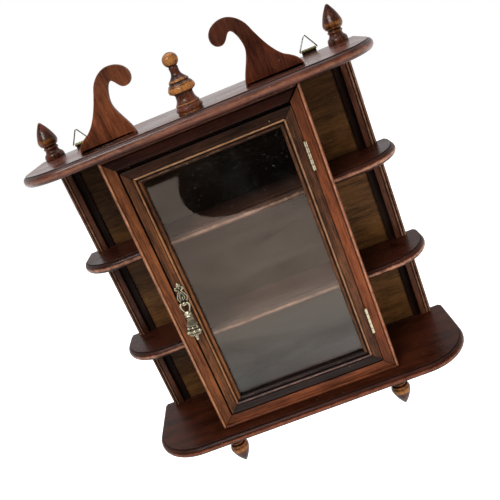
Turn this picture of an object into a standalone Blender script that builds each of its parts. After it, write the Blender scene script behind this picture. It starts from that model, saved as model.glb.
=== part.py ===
"""Wall display case: glazed cabinet, open shelf wings, scrolled crest, turned finials.

Cabinet frame: x to the right, y from the face frame's front (0) back to the wall,
z up from the top face of the base board.  The root empty shifts that frame so that
the world origin is the middle of the back panel's outer face, which faces the wall.
"""
import math

import bmesh
import bpy
from mathutils import Vector

# Driving dimensions, in metres.
CASE_WIDTH = 0.220
CASE_HEIGHT = 0.3467
DEPTH = 0.1064
GAP = 0.0003

BOARD_THICKNESS = 0.0116
BOARD_HALF_WIDTH = 0.1975
BOARD_OVERHANG = 0.0175
BOARD_CORNER_RADIUS = 0.058
EDGE_LIP = 0.0006
EDGE_STEP = 0.0012
EDGE_SLOPE = 0.0001
EDGE_ROUND_TOP = 0.0036
EDGE_ROUND_BOTTOM = 0.0050

WING_HALF_WIDTH = 0.1962
WING_FRONT = 0.033
WING_CORNER_RADIUS = 0.052
SHELF_TOPS = {"lower": 0.1127, "upper": 0.2349}
CASE_SHELF_FRONT = 0.038

PANEL_THICKNESS = 0.0040
SIDE_THICKNESS = 0.0080
POST_OUTER = 0.1805
POST_INNER = 0.1669
POST_FRONT = 0.0957
POST_LIP_WIDTH = 0.0084
POST_LIP_THICKNESS = 0.0020
POST_ARRIS = 0.0008

FRAME_MEMBER = 0.0150
FRAME_THICKNESS = 0.0140
FRAME_BEAD = 0.0040
FRAME_BEAD_ROOT = 0.0018
FRAME_FLAT_DEPTH = 0.0004
FRAME_ARRIS = 0.0005
OPEN_MITRE = 0.0012

DOOR_LEFT = -0.0932
DOOR_RIGHT = 0.0946
DOOR_BOTTOM = 0.0166
DOOR_TOP = 0.3276
DOOR_THICKNESS = 0.0125
DOOR_MEMBER = 0.0173
DOOR_FLAT = 0.0093
DOOR_ARRIS = 0.0006
DOOR_BEAD_WIDTH = 0.0036
DOOR_BEAD_ROOTS = (0.0012, 0.0034)
DOOR_SECOND_CREST = 0.0020
RABBET_DEPTH = 0.0070
RABBET_EDGE = 0.0123
GLASS_THICKNESS = 0.0020
GLASS_BEAD_INSET = 0.0006
GLASS_BEAD_CHAMFER = 0.0010

HINGE_AXIS = (0.0949, -0.0021)
HINGE_LENGTH = 0.0318
HINGE_INSET = 0.0548
KNUCKLE_RADIUS = 0.0018
KNUCKLE_BORE = 0.0010
HINGE_PIN_RADIUS = 0.0007
LEAF_CLEARANCE = 0.0004
LEAF_THICKNESS = 0.0008
LEAF_DEPTH = 0.0090
KNUCKLE_COUNT = 5
MORTISE_REACH = 0.0030
PIN_CAP_HEIGHT = 0.0008
PIN_CAP_RADII = (0.0012, 0.0015)

PULL_X = -0.0883
PULL_Z = 0.1712
PULL_STAND_OFF = 0.0043
PULL_TILT = math.radians(4.0)
PULL_PLATE_THICKNESS = 0.0016
PULL_BALL_RADIUS = 0.0026
PULL_STUB_RADIUS = 0.0015
PULL_BORE_RADIUS = 0.0009
PULL_HOOK_RADIUS = 0.0005
PULL_HOOK_SPAN = (0.0014, 0.0045)
PULL_NAIL_Z = 0.0186
PULL_NAIL_LENGTH = 0.0070
PULL_ARM_HALF_THICKNESS = 0.0013

SCROLL_THICKNESS = 0.0080
SCROLL_FRONT = 0.0060
SIDE_FINIAL_X = 0.1735
SIDE_FINIAL_Y = 0.0940
DROP_FINIAL_X = 0.1035
DROP_FINIAL_Y = 0.0093
TENON_RADIUS = 0.0030
TENON_LENGTH = 0.0060

HANGER_X = 0.1412
HANGER_RISE = 0.0043
STRAP_WIDTH = 0.0170
STRAP_DROP = 0.0143
STRAP_THICKNESS = 0.0007
WIRE_RADIUS = 0.00085
RING_HALF_WIDTH = 0.0110
RING_HEIGHT = 0.0176
RING_CORNER = 0.0021
NAIL_SPACING = 0.0100
NAIL_RADIUS = 0.0006
NAIL_HEAD_RADIUS = 0.0016
NAIL_HEAD_HEIGHT = 0.0006
NAIL_LENGTH = 0.0090

CATCH_Z = 0.1720
CATCH_SIZE = (0.0180, 0.0097, 0.0160)
STRIKE_SIZE = (0.0080, 0.0008, 0.0120)
STRIKE_INSET = 0.0015
MINIMUM_RADIUS = 0.0004
OVERCUT = 0.0020

# Colour, roughness and metallic value of each finish.
FINISHES = {
    "mahogany": ((0.115, 0.034, 0.020), 0.34, 0.0),
    "dark_mahogany": ((0.060, 0.020, 0.014), 0.40, 0.0),
    "plywood": ((0.130, 0.068, 0.030), 0.60, 0.0),
    "honey_wood": ((0.340, 0.150, 0.045), 0.38, 0.0),
    "glass": ((0.800, 0.830, 0.820), 0.04, 0.0),
    "brass": ((0.560, 0.420, 0.180), 0.32, 1.0),
    "antique_brass": ((0.330, 0.270, 0.150), 0.42, 1.0),
    "steel": ((0.550, 0.550, 0.530), 0.30, 1.0),
    "magnet": ((0.050, 0.045, 0.040), 0.55, 0.0),
}


def clear_scene():
    for item in list(bpy.data.objects):
        bpy.data.objects.remove(item, do_unlink=True)


def make_material(finish):
    colour, roughness, metallic = FINISHES[finish]
    material = bpy.data.materials.get(finish) or bpy.data.materials.new(finish)
    material.use_nodes = True
    shader = material.node_tree.nodes["Principled BSDF"]
    shader.inputs["Base Color"].default_value = (*colour, 1.0)
    shader.inputs["Roughness"].default_value = roughness
    shader.inputs["Metallic"].default_value = metallic
    return material


def add_empty(name, location, parent=None, tilt=0.0):
    empty = bpy.data.objects.new(name, None)
    empty.location = location
    empty.rotation_euler = (0.0, tilt, 0.0)
    empty.empty_display_size = 0.02
    empty.parent = parent
    bpy.context.scene.collection.objects.link(empty)
    return empty


def add_solid(name, rings, finish, parent, location=(0, 0, 0), smooth=False):
    """Close a solid over rings of equally many points and add it as an object."""
    mesh = bmesh.new()
    loops = [[mesh.verts.new(point) for point in ring] for ring in rings]
    for lower, upper in zip(loops, loops[1:]):
        for i, corner in enumerate(lower):
            j = (i + 1) % len(lower)
            mesh.faces.new((corner, lower[j], upper[j], upper[i]))
    mesh.faces.new(list(reversed(loops[0])))
    mesh.faces.new(loops[-1])
    bmesh.ops.recalc_face_normals(mesh, faces=mesh.faces)
    data = bpy.data.meshes.new(name)
    mesh.to_mesh(data)
    mesh.free()
    if smooth:
        data.shade_smooth()
        data.set_sharp_from_angle(angle=math.radians(35))
    data.materials.append(make_material(finish))
    solid = bpy.data.objects.new(name, data)
    solid.location = location
    solid.parent = parent
    bpy.context.scene.collection.objects.link(solid)
    return solid


def as_cutter(solid):
    solid.hide_render = True
    solid.display_type = "WIRE"
    return solid


def combine(target, tool, operation="DIFFERENCE"):
    modifier = target.modifiers.new(operation.lower(), "BOOLEAN")
    modifier.object = as_cutter(tool)
    modifier.operation = operation


def box_rings(low, high):
    """Two square rings, bottom and top, between opposite corners."""
    (x0, y0, z0), (x1, y1, z1) = low, high
    plan = ((x0, y0), (x1, y0), (x1, y1), (x0, y1))
    return [[(x, y, z) for x, y in plan] for z in (z0, z1)]


def circle(radius, count):
    return [(radius * math.cos(2 * math.pi * i / count), radius * math.sin(2 * math.pi * i / count))
            for i in range(count)]


def rod_rings(radius, start, end, axis, centre, count=12):
    """Two circular rings of a rod along an axis, with the rod's centre in the other two."""
    rings = []
    for along in (start, end):
        ring = []
        for a, b in circle(radius, count):
            point = [a + centre[0], b + centre[1]]
            point.insert("xyz".index(axis), along)
            ring.append(point)
        rings.append(ring)
    return rings


def arc(centre, radius, start, end, steps):
    """Points of an arc in a plane, angles in degrees."""
    angles = [math.radians(start + (end - start) * i / steps) for i in range(steps + 1)]
    return [(centre[0] + radius * math.cos(a), centre[1] + radius * math.sin(a)) for a in angles]


def bezier(start, first, second, end, steps):
    """Points of a cubic curve, without its end point."""
    points = []
    for i in range(steps):
        t = i / steps
        weights = ((1 - t) ** 3, 3 * t * (1 - t) ** 2, 3 * t * t * (1 - t), t ** 3)
        corners = (start, first, second, end)
        points.append(tuple(sum(w * c[k] for w, c in zip(weights, corners)) for k in (0, 1)))
    return points


def smooth_loop(points, steps):
    """Points of a closed curve that passes through the given points."""
    result = []
    count = len(points)
    for i in range(count):
        before, here = Vector(points[i - 1]), Vector(points[i])
        after, beyond = Vector(points[(i + 1) % count]), Vector(points[(i + 2) % count])
        first = here + (after - before) / 6
        second = after - (beyond - here) / 6
        result += bezier(here, first, second, after, steps)
    return result


# ---------------------------------------------------------------- boards and shelves

def moulded_edge(steps=8):
    """Inset from the widest line and height below the top, down a board's edge."""
    top_inset = EDGE_ROUND_TOP + EDGE_LIP
    levels = [(top_inset, 0.0), (top_inset - EDGE_SLOPE, EDGE_SLOPE - EDGE_STEP)]
    half_height = (BOARD_THICKNESS - EDGE_STEP) / 2
    for i in range(steps + 1):
        angle = math.pi / 2 - math.pi * i / steps
        reach = EDGE_ROUND_TOP if angle > 0 else EDGE_ROUND_BOTTOM
        inset = reach * (1 - math.cos(angle))
        levels.append((inset, -EDGE_STEP - half_height * (1 - math.sin(angle))))
    return levels


def full_board_outline(inset):
    """Plan of the top and base boards: straight back, two round front corners."""
    half = BOARD_HALF_WIDTH - inset
    front = -BOARD_OVERHANG + inset
    radius = BOARD_CORNER_RADIUS - inset
    left = arc((-half + radius, front + radius), radius, 180, 270, 8)
    right = arc((half - radius, front + radius), radius, 270, 360, 8)
    return [(-half, DEPTH)] + left + right + [(half, DEPTH)]


def wing_shelf_outline(inset, side):
    """Plan of a wing shelf, notched round the post and its lip."""
    half = WING_HALF_WIDTH - inset
    front = WING_FRONT + inset
    radius = WING_CORNER_RADIUS - inset
    panel_front = DEPTH - PANEL_THICKNESS
    lip_front = panel_front - GAP - POST_LIP_THICKNESS
    outline = [(CASE_WIDTH / 2 + GAP, panel_front - GAP), (CASE_WIDTH / 2 + GAP, front)]
    outline += arc((half - radius, front + radius), radius, 270, 360, 8)
    outline += [(half, DEPTH), (POST_OUTER + GAP, DEPTH), (POST_OUTER + GAP, POST_FRONT - GAP),
                (POST_INNER - GAP, POST_FRONT - GAP), (POST_INNER - GAP, lip_front - GAP),
                (POST_INNER - POST_LIP_WIDTH - GAP, lip_front - GAP),
                (POST_INNER - POST_LIP_WIDTH - GAP, panel_front - GAP)]
    return [(side * x, y) for x, y in outline]


def case_shelf_outline(inset):
    half = CASE_WIDTH / 2 - SIDE_THICKNESS - GAP
    front = CASE_SHELF_FRONT + inset
    back = DEPTH - PANEL_THICKNESS - GAP
    return [(-half, back), (-half, front), (half, front), (half, back)]


def moulded_board(name, outline, top, cabinet):
    rings = [[(x, y, top + z) for x, y in outline(inset)] for inset, z in moulded_edge()]
    return add_solid(name, rings, "mahogany", cabinet)


def add_boards(cabinet):
    base = moulded_board("base_board", full_board_outline, 0.0, cabinet)
    top = moulded_board("top_board", full_board_outline, CASE_HEIGHT + BOARD_THICKNESS, cabinet)
    for level, height in SHELF_TOPS.items():
        moulded_board(f"case_shelf_{level}", case_shelf_outline, height, cabinet)
        for label, side in (("left", -1), ("right", 1)):
            moulded_board(f"wing_shelf_{level}_{label}",
                          lambda inset, side=side: wing_shelf_outline(inset, side), height, cabinet)
    return base, top


def add_carcass(cabinet):
    """Case sides, back panels and the posts at the back of the wings."""
    low, high = GAP, CASE_HEIGHT - GAP
    half = CASE_WIDTH / 2
    panel_front = DEPTH - PANEL_THICKNESS
    inner = half - SIDE_THICKNESS
    add_solid("case_back_panel", box_rings((-inner + GAP, panel_front, low), (inner - GAP, DEPTH, high)),
              "plywood", cabinet)
    lip_back = panel_front - GAP
    lip_front = lip_back - POST_LIP_THICKNESS
    lip_inner = POST_INNER - POST_LIP_WIDTH
    post = [(POST_INNER, POST_FRONT + POST_ARRIS)]
    bead_width = (POST_OUTER - POST_INNER) / 4
    post += [(POST_INNER + POST_ARRIS, POST_FRONT), (POST_OUTER - 2.1 * bead_width, POST_FRONT)]
    for widths_in in (1.5, 0.5):
        centre = POST_OUTER - widths_in * bead_width
        post += arc((centre, POST_FRONT + bead_width / 2), bead_width / 2, 195, 345, 4)
    post += [(POST_OUTER, POST_FRONT + bead_width / 2), (POST_OUTER, DEPTH), (POST_INNER, DEPTH)]
    post += [(POST_INNER, lip_back), (lip_inner, lip_back), (lip_inner, lip_front), (POST_INNER, lip_front)]
    for label, side in (("left", -1), ("right", 1)):
        edges = sorted((side * inner, side * half))
        add_solid(f"case_side_{label}",
                  box_rings((edges[0], FRAME_THICKNESS + GAP, low), (edges[1], DEPTH, high)),
                  "mahogany", cabinet)
        edges = sorted((side * (half + GAP), side * (POST_INNER - GAP)))
        add_solid(f"wing_back_{label}", box_rings((edges[0], panel_front, low), (edges[1], DEPTH, high)),
                  "plywood", cabinet)
        rings = [[(side * x, y, z) for x, y in post] for z in (low, high)]
        add_solid(f"wing_post_{label}", rings, "mahogany", cabinet)


# ---------------------------------------------------------------- face frame and door

def half_round(start, end, crest, base, steps=5):
    """A bead across a section, from start to end, rising from base to crest."""
    points = []
    for i in range(steps + 1):
        angle = math.pi * i / steps
        across = (start + end) / 2 - (end - start) / 2 * math.cos(angle)
        points.append((across, base + (crest - base) * math.sin(angle)))
    return points


def face_section():
    """Face frame section: distance in from the outer edge, depth behind the front."""
    section = half_round(0.0, FRAME_BEAD, 0.0, FRAME_BEAD_ROOT)
    section += [(FRAME_BEAD + FRAME_ARRIS, FRAME_FLAT_DEPTH), (FRAME_MEMBER - FRAME_ARRIS, FRAME_FLAT_DEPTH),
                (FRAME_MEMBER, FRAME_FLAT_DEPTH + FRAME_ARRIS)]
    return section + [(FRAME_MEMBER, FRAME_THICKNESS), (0.0, FRAME_THICKNESS)]


def door_section():
    """Door member section: flat, two beads stepping down to the glass, rabbet behind."""
    bead_end = DOOR_FLAT + DOOR_BEAD_WIDTH
    section = [(0.0, DOOR_ARRIS), (DOOR_ARRIS, 0.0), (DOOR_FLAT, 0.0)]
    section += half_round(DOOR_FLAT + GAP, bead_end, 0.0, DOOR_BEAD_ROOTS[0])
    section += half_round(bead_end + GAP, DOOR_MEMBER, DOOR_SECOND_CREST, DOOR_BEAD_ROOTS[1])
    section += [(DOOR_MEMBER, RABBET_DEPTH), (RABBET_EDGE, RABBET_DEPTH)]
    return section + [(RABBET_EDGE, DOOR_THICKNESS), (0.0, DOOR_THICKNESS)]


def bead_section():
    """Square strip that holds the glass in its rabbet."""
    start, end = RABBET_EDGE + GAP, DOOR_MEMBER - GLASS_BEAD_INSET
    front, back = RABBET_DEPTH + GLASS_THICKNESS + 2 * GAP, DOOR_THICKNESS - GAP
    return [(start, front), (end, front), (end, back - GLASS_BEAD_CHAMFER),
            (end - GLASS_BEAD_CHAMFER, back), (start, back)]


def mitred_member(section, place, opening, extra=0.0):
    """Rings at both mitres of one frame member; extra opens the far mitre."""
    left, right, bottom, top = opening
    trim = GAP / math.sqrt(2)
    near, far = [], []
    for u, y in section:
        if place in ("left", "right"):
            x = left + u if place == "left" else right - u
            near.append((x, y, bottom + u + trim))
            far.append((x, y, top - u - trim - extra))
        else:
            z = bottom + u if place == "bottom" else top - u
            near.append((left + u + trim, y, z))
            far.append((right - u - trim - extra, y, z))
    return [near, far]


def add_face_frame(cabinet):
    half = CASE_WIDTH / 2
    outer = (-half, half, GAP, CASE_HEIGHT - GAP)
    stiles = {}
    for place in ("left", "right"):
        rings = mitred_member(face_section(), place, outer)
        stiles[place] = add_solid(f"face_stile_{place}", rings, "mahogany", cabinet)
    add_solid("face_rail_bottom", mitred_member(face_section(), "bottom", outer), "mahogany", cabinet)
    rings = mitred_member(face_section(), "top", outer, OPEN_MITRE)
    add_solid("face_rail_top", rings, "dark_mahogany", cabinet)
    return stiles["right"]


def add_door(door, origin):
    """Four mitred members, the pane and the strips behind it."""
    outer = (DOOR_LEFT, DOOR_RIGHT, DOOR_BOTTOM, DOOR_TOP)
    names = {"left": "door_stile_left", "right": "door_stile_right",
             "bottom": "door_rail_bottom", "top": "door_rail_top"}
    members = {}
    for place, name in names.items():
        rings = mitred_member(door_section(), place, outer)
        members[place] = add_solid(name, rings, "dark_mahogany", door, origin)
        rings = mitred_member(bead_section(), place, outer)
        add_solid(f"glass_bead_{place}", rings, "dark_mahogany", door, origin)
    edge = RABBET_EDGE + GAP
    front = RABBET_DEPTH + GAP
    low = (DOOR_LEFT + edge, front, DOOR_BOTTOM + edge)
    high = (DOOR_RIGHT - edge, front + GLASS_THICKNESS, DOOR_TOP - edge)
    add_solid("glass_pane", box_rings(low, high), "glass", door, origin)
    return members


# ---------------------------------------------------------------- hinges and catch

def hinge_parts(level, centre_z, face_stile, door_stile, cabinet, door, origin):
    """Two mortised leaves that share one barrel, and the pin through it."""
    axis_x, axis_y = HINGE_AXIS
    low, high = centre_z - HINGE_LENGTH / 2, centre_z + HINGE_LENGTH / 2
    pitch = HINGE_LENGTH / KNUCKLE_COUNT
    owners = (("frame", 1, cabinet, (0, 0, 0), face_stile, 0),
              ("door", -1, door, origin, door_stile, 1))
    for owner, side, parent, location, stile, first in owners:
        name = f"hinge_{level}_{owner}_leaf"
        near = axis_x + side * LEAF_CLEARANCE
        edges = sorted((near, near + side * LEAF_THICKNESS))
        leaf = add_solid(name, box_rings((edges[0], axis_y, low), (edges[1], LEAF_DEPTH, high)),
                         "brass", parent, location)
        barrel = rod_rings(KNUCKLE_RADIUS, low, high, "z", HINGE_AXIS, 16)
        combine(leaf, add_solid(f"{name}_barrel", barrel, "brass", parent, location), "UNION")
        for index in range(KNUCKLE_COUNT):
            if index % 2 == first:
                continue
            start = low + index * pitch - (OVERCUT if index == 0 else GAP / 2)
            end = low + (index + 1) * pitch + (OVERCUT if index == KNUCKLE_COUNT - 1 else GAP / 2)
            reach = KNUCKLE_RADIUS + GAP
            slot = box_rings((axis_x - reach, axis_y - reach, start), (axis_x + reach, axis_y + reach, end))
            combine(leaf, add_solid(f"{name}_slot_{index}", slot, "brass", parent, location))
        bore = rod_rings(KNUCKLE_BORE, low - OVERCUT, high + OVERCUT, "z", HINGE_AXIS, 12)
        combine(leaf, add_solid(f"{name}_bore", bore, "brass", parent, location))
        edges = sorted((near - side * MORTISE_REACH, near + side * (LEAF_THICKNESS + GAP)))
        mortise = box_rings((edges[0], axis_y - OVERCUT, low - GAP), (edges[1], LEAF_DEPTH + GAP, high + GAP))
        combine(stile, add_solid(f"{name}_mortise", mortise, "brass", parent, location))
    cap, shoulder = PIN_CAP_HEIGHT, PIN_CAP_HEIGHT * 0.75
    tip_radius, cap_radius = PIN_CAP_RADII
    profile = [(MINIMUM_RADIUS, low - cap), (tip_radius, low - shoulder), (cap_radius, low - GAP),
               (HINGE_PIN_RADIUS, low - GAP), (HINGE_PIN_RADIUS, high + GAP), (cap_radius, high + GAP),
               (tip_radius, high + shoulder), (MINIMUM_RADIUS, high + cap)]
    rings = [[(axis_x + a, axis_y + b, z) for a, b in circle(r, 12)] for r, z in profile]
    add_solid(f"hinge_{level}_pin", rings, "brass", cabinet, smooth=True)


def add_catch(cabinet, door, origin):
    """Magnet block on the case's left side and the strike plate on the door's back."""
    side_face = -CASE_WIDTH / 2 + SIDE_THICKNESS + GAP
    low = (side_face, FRAME_THICKNESS + GAP, CATCH_Z - CATCH_SIZE[2] / 2)
    high = tuple(near + size for near, size in zip(low, CATCH_SIZE))
    add_solid("magnet_catch", box_rings(low, high), "magnet", cabinet)
    low = (DOOR_LEFT + STRIKE_INSET, DOOR_THICKNESS + GAP, CATCH_Z - STRIKE_SIZE[2] / 2)
    high = tuple(near + size for near, size in zip(low, STRIKE_SIZE))
    add_solid("strike_plate", box_rings(low, high), "steel", door, origin)


# ---------------------------------------------------------------- turned pieces and scrolls

def turned_run(start, end, bulge, steps):
    """Radius and height pairs from one station to the next, without the last."""
    points = []
    for i in range(steps):
        t = i / steps
        radius = start[0] + (end[0] - start[0]) * t + bulge * math.sin(math.pi * t)
        points.append((radius, start[1] + (end[1] - start[1]) * t))
    return points


def turned_profile(runs, last):
    """Join runs of (radius mm, height mm, bulge mm, steps) into a profile in metres."""
    stations = runs + [(*last, 0, 1)]
    points = [(TENON_RADIUS, -TENON_LENGTH), (TENON_RADIUS, 0.0)]
    for here, after in zip(stations, stations[1:]):
        run = turned_run(here[:2], after[:2], here[2], here[3])
        points += [(radius / 1000, height / 1000) for radius, height in run]
    return points + [(last[0] / 1000, last[1] / 1000)]


CENTRE_FINIAL_RUNS = [
    (13.2, 0.02, 0.0, 1), (13.5, 1.7, 0.0, 1), (12.8, 2.0, 1.5, 4), (12.4, 7.8, 0.0, 1),
    (12.2, 8.3, 0.6, 2), (11.6, 10.4, -0.5, 3), (9.4, 17.0, -0.2, 2), (10.0, 19.8, 0.0, 1),
    (14.2, 22.2, 0.5, 2), (13.0, 27.6, 0.2, 2), (11.0, 30.2, 0.0, 1), (10.4, 30.7, 0.4, 2),
    (9.6, 33.4, -1.3, 4), (4.6, 42.0, -0.1, 2), (4.9, 45.0, 0.0, 1)]
SIDE_FINIAL_RUNS = [
    (11.7, 0.02, 0.4, 3), (10.6, 6.0, -0.7, 3), (7.6, 10.2, 0.0, 1), (8.0, 11.4, 0.8, 3),
    (8.1, 14.2, 0.0, 1), (8.0, 15.0, 0.0, 1), (9.6, 16.2, 0.9, 4), (10.9, 24.0, 0.9, 5)]
BALL_CENTRE = 52.6
BALL_RADII = (8.1, 7.4)


def centre_finial_profile():
    """Base, vase and neck, then the ball as the top of an ellipse."""
    ball = []
    for degrees in range(-60, 90, 25):
        angle = math.radians(degrees)
        ball.append((BALL_RADII[0] * math.cos(angle), BALL_CENTRE + BALL_RADII[1] * math.sin(angle)))
    runs = CENTRE_FINIAL_RUNS + [(radius, height, 0.0, 1) for radius, height in ball]
    return turned_profile(runs, (1.0, BALL_CENTRE + BALL_RADII[1]))


def add_turning(name, profile, x, y, z, direction, cabinet, count=16):
    rings = [[(a, b, direction * height) for a, b in circle(radius, count)] for radius, height in profile]
    add_solid(name, rings, "honey_wood", cabinet, (x, y, z + direction * GAP), smooth=True)


def cut_socket(board, name, x, y, z, direction, cabinet):
    """Round socket for a finial's tenon, cut from the board's face."""
    rings = rod_rings(TENON_RADIUS + GAP, z - direction * (TENON_LENGTH + GAP), z + direction * OVERCUT,
                      "z", (x, y), 12)
    combine(board, add_solid(name, rings, "mahogany", cabinet))


def add_finials(base, top, cabinet):
    crest = CASE_HEIGHT + BOARD_THICKNESS
    flame = turned_profile(SIDE_FINIAL_RUNS, (1.2, 42.8))
    places = [("centre_finial", centre_finial_profile(), 0.0, 0.0, crest, 1, top)]
    for label, side in (("left", -1), ("right", 1)):
        places.append((f"side_finial_{label}", flame, side * SIDE_FINIAL_X, SIDE_FINIAL_Y, crest, 1, top))
        places.append((f"drop_finial_{label}", flame, side * DROP_FINIAL_X, DROP_FINIAL_Y,
                       -BOARD_THICKNESS, -1, base))
    for name, profile, x, y, z, direction, board in places:
        add_turning(name, profile, x, y, z, direction, cabinet)
        cut_socket(board, f"{name}_socket", x, y, z, direction, cabinet)


# Scroll outline in millimetres from the cabinet's centre line and above the top board:
# each row is a knot, the handle that leaves it and the handle that reaches the next knot.
SCROLL_KNOTS = [
    ((59.5, 0.0), (60.5, 12.0), (71.5, 26.0)), ((71.8, 36.0), (71.8, 43.0), (67.5, 55.8)),
    ((63.2, 55.8), (59.6, 55.8), (57.5, 46.1)), ((50.8, 46.1), (45.8, 46.1), (42.0, 50.2)),
    ((42.0, 55.5), (42.0, 63.5), (50.5, 69.8)), ((60.5, 69.8), (69.0, 69.8), (78.5, 63.0)),
    ((82.6, 53.3), (87.5, 42.0), (96.0, 24.0)), ((107.0, 16.5), (115.0, 12.5), (121.0, 8.0))]
SCROLL_END = (121.8, 0.0)


def add_scrolls(cabinet):
    outline = []
    for index, (knot, leaving, reaching) in enumerate(SCROLL_KNOTS):
        is_last = index == len(SCROLL_KNOTS) - 1
        following = SCROLL_END if is_last else SCROLL_KNOTS[index + 1][0]
        outline += bezier(knot, leaving, reaching, following, 6)
    outline.append(SCROLL_END)
    foot = CASE_HEIGHT + BOARD_THICKNESS + GAP
    depths = (SCROLL_FRONT, SCROLL_FRONT + SCROLL_THICKNESS)
    for label, side in (("left", -1), ("right", 1)):
        rings = [[(side * x / 1000, y, foot + z / 1000) for x, z in outline] for y in depths]
        add_solid(f"scroll_{label}", rings, "mahogany", cabinet)


# ---------------------------------------------------------------- drop pull
# Pull frame: origin on the swing axis, x to the right, y back to the door, z up the pull.

PLATE_HALF = [(0.0, -3.4), (3.0, -2.2), (4.2, 1.5), (6.0, 7.0), (4.0, 12.0), (2.4, 15.2), (5.4, 16.4),
              (5.2, 19.0), (2.6, 20.0), (1.9, 23.4), (0.0, 24.7)]
ARM_HALF = [(3.4, 1.4), (6.3, 1.2), (6.4, -2.0), (5.0, -6.4), (3.4, -11.0)]
ARM_INNER = [(3.4, -2.6), (2.2, -6.2)]
BELL_STATIONS = [(3.8, 2.2, -13.2), (5.0, 2.6, -15.5), (4.5, 2.6, -20.0), (5.4, 2.9, -25.0),
                 (6.8, 3.3, -29.4), (8.6, 3.7, -34.1), (7.4, 3.5, -37.6), (6.0, 3.2, -39.4),
                 (2.4, 1.8, -40.4), (1.6, 1.4, -47.4)]
BELL_BACK = 3.4
BOSS_RADII = (4.5, 2.4, 3.2)
BOSS_CENTRE = (0.0, -0.6, -11.9)


def millimetres(points):
    return [tuple(value / 1000 for value in point) for point in points]


def ball_rings(radii, centre, count=12, steps=6):
    """Rings of an ellipsoid, bottom to top, with small flats at its poles."""
    rings = []
    for i in range(steps + 1):
        angle = math.pi * (i / steps - 0.5)
        width = max(math.cos(angle), 0.12)
        rings.append([(centre[0] + radii[0] * width * a, centre[1] + radii[1] * width * b,
                       centre[2] + radii[2] * math.sin(angle)) for a, b in circle(1.0, count)])
    return rings


def add_pull(door, origin, door_stile):
    place = (PULL_X + origin[0], -PULL_STAND_OFF + origin[1], PULL_Z + origin[2])
    pull = add_empty("pull_axis", place, door, PULL_TILT)
    back = PULL_STAND_OFF - GAP
    half = [(x, z) for x, z in millimetres(PLATE_HALF)]
    outline = smooth_loop(half + [(-x, z) for x, z in reversed(half[1:-1])], 3)
    rings = [[(x, y, z) for x, z in outline] for y in (back - PULL_PLATE_THICKNESS, back)]
    plate = add_solid("pull_backplate", rings, "antique_brass", pull)
    ball = ball_rings((PULL_BALL_RADIUS,) * 3, (0, 0, 0))
    combine(plate, add_solid("pull_ball", ball, "antique_brass", pull), "UNION")
    plate_middle = back - PULL_PLATE_THICKNESS / 2
    stub = rod_rings(PULL_STUB_RADIUS, 0.0005, plate_middle, "y", (0, 0))
    combine(plate, add_solid("pull_stub", stub, "antique_brass", pull), "UNION")
    reach = PULL_BALL_RADIUS + OVERCUT
    bore = rod_rings(PULL_BORE_RADIUS, -reach, reach, "x", (0, 0), 10)
    combine(plate, add_solid("pull_ball_bore", bore, "antique_brass", pull))
    head_back = back - PULL_PLATE_THICKNESS - GAP
    hole = rod_rings(NAIL_RADIUS + GAP, head_back - OVERCUT, back + OVERCUT, "y", (0, PULL_NAIL_Z), 10)
    combine(plate, add_solid("pull_nail_hole", hole, "antique_brass", pull))
    tip = head_back + PULL_NAIL_LENGTH + GAP
    deep_hole = rod_rings(NAIL_RADIUS + GAP, head_back, tip, "y", (0, PULL_NAIL_Z), 10)
    combine(door_stile, add_solid("pull_nail_bore", deep_hole, "antique_brass", pull))
    add_nail("pull_nail", pull, (0.0, head_back, PULL_NAIL_Z), 1, PULL_NAIL_LENGTH)

    outer = millimetres(ARM_HALF)
    inner = millimetres(ARM_INNER)
    arms = outer + [(-x, z) for x, z in reversed(outer)] + [(-x, z) for x, z in inner]
    arms += list(reversed(inner))
    depths = (-PULL_ARM_HALF_THICKNESS, PULL_ARM_HALF_THICKNESS)
    rings = [[(x, y, z) for x, z in arms] for y in depths]
    drop = add_solid("pull_drop", rings, "antique_brass", pull)
    boss = ball_rings(*millimetres((BOSS_RADII, BOSS_CENTRE)))
    combine(drop, add_solid("pull_boss", boss, "antique_brass", pull), "UNION")
    rings = []
    for half_width, half_depth, height in millimetres(BELL_STATIONS):
        centre = BELL_BACK / 1000 - half_depth
        rings.append([(half_width * a, centre + half_depth * b, height) for a, b in circle(1.0, 14)])
    combine(drop, add_solid("pull_bell", rings, "antique_brass", pull), "UNION")
    for label, side in (("left", -1), ("right", 1)):
        edges = sorted(side * end for end in PULL_HOOK_SPAN)
        hook = rod_rings(PULL_HOOK_RADIUS, edges[0], edges[1], "x", (0, 0), 8)
        combine(drop, add_solid(f"pull_hook_{label}", hook, "antique_brass", pull), "UNION")


# ---------------------------------------------------------------- hangers

def add_nail(name, parent, head_base, direction, length):
    """Round-headed nail along y; head_base is where the head's underside meets its shank."""
    x, y, z = head_base
    stations = [(MINIMUM_RADIUS, -NAIL_HEAD_HEIGHT), (NAIL_HEAD_RADIUS * 0.8, -NAIL_HEAD_HEIGHT * 0.8),
                (NAIL_HEAD_RADIUS, 0.0), (NAIL_RADIUS, 0.0), (NAIL_RADIUS, length - 0.001),
                (0.0002, length)]
    rings = [[(x + a, y + direction * along, z + b) for a, b in circle(radius, 10)]
             for radius, along in stations]
    add_solid(name, rings, "steel", parent, smooth=True)


def strap_section():
    """Strap section in depth and height about the ring's axis: a strip curled round the wire."""
    inner = WIRE_RADIUS + GAP
    outer = inner + STRAP_THICKNESS
    curl_outer = arc((0, 0), outer, 0, 300, 15)
    curl_inner = arc((0, 0), inner, 300, 0, 15)
    return [(inner, -STRAP_DROP), (outer, -STRAP_DROP)] + curl_outer + curl_inner


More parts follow.
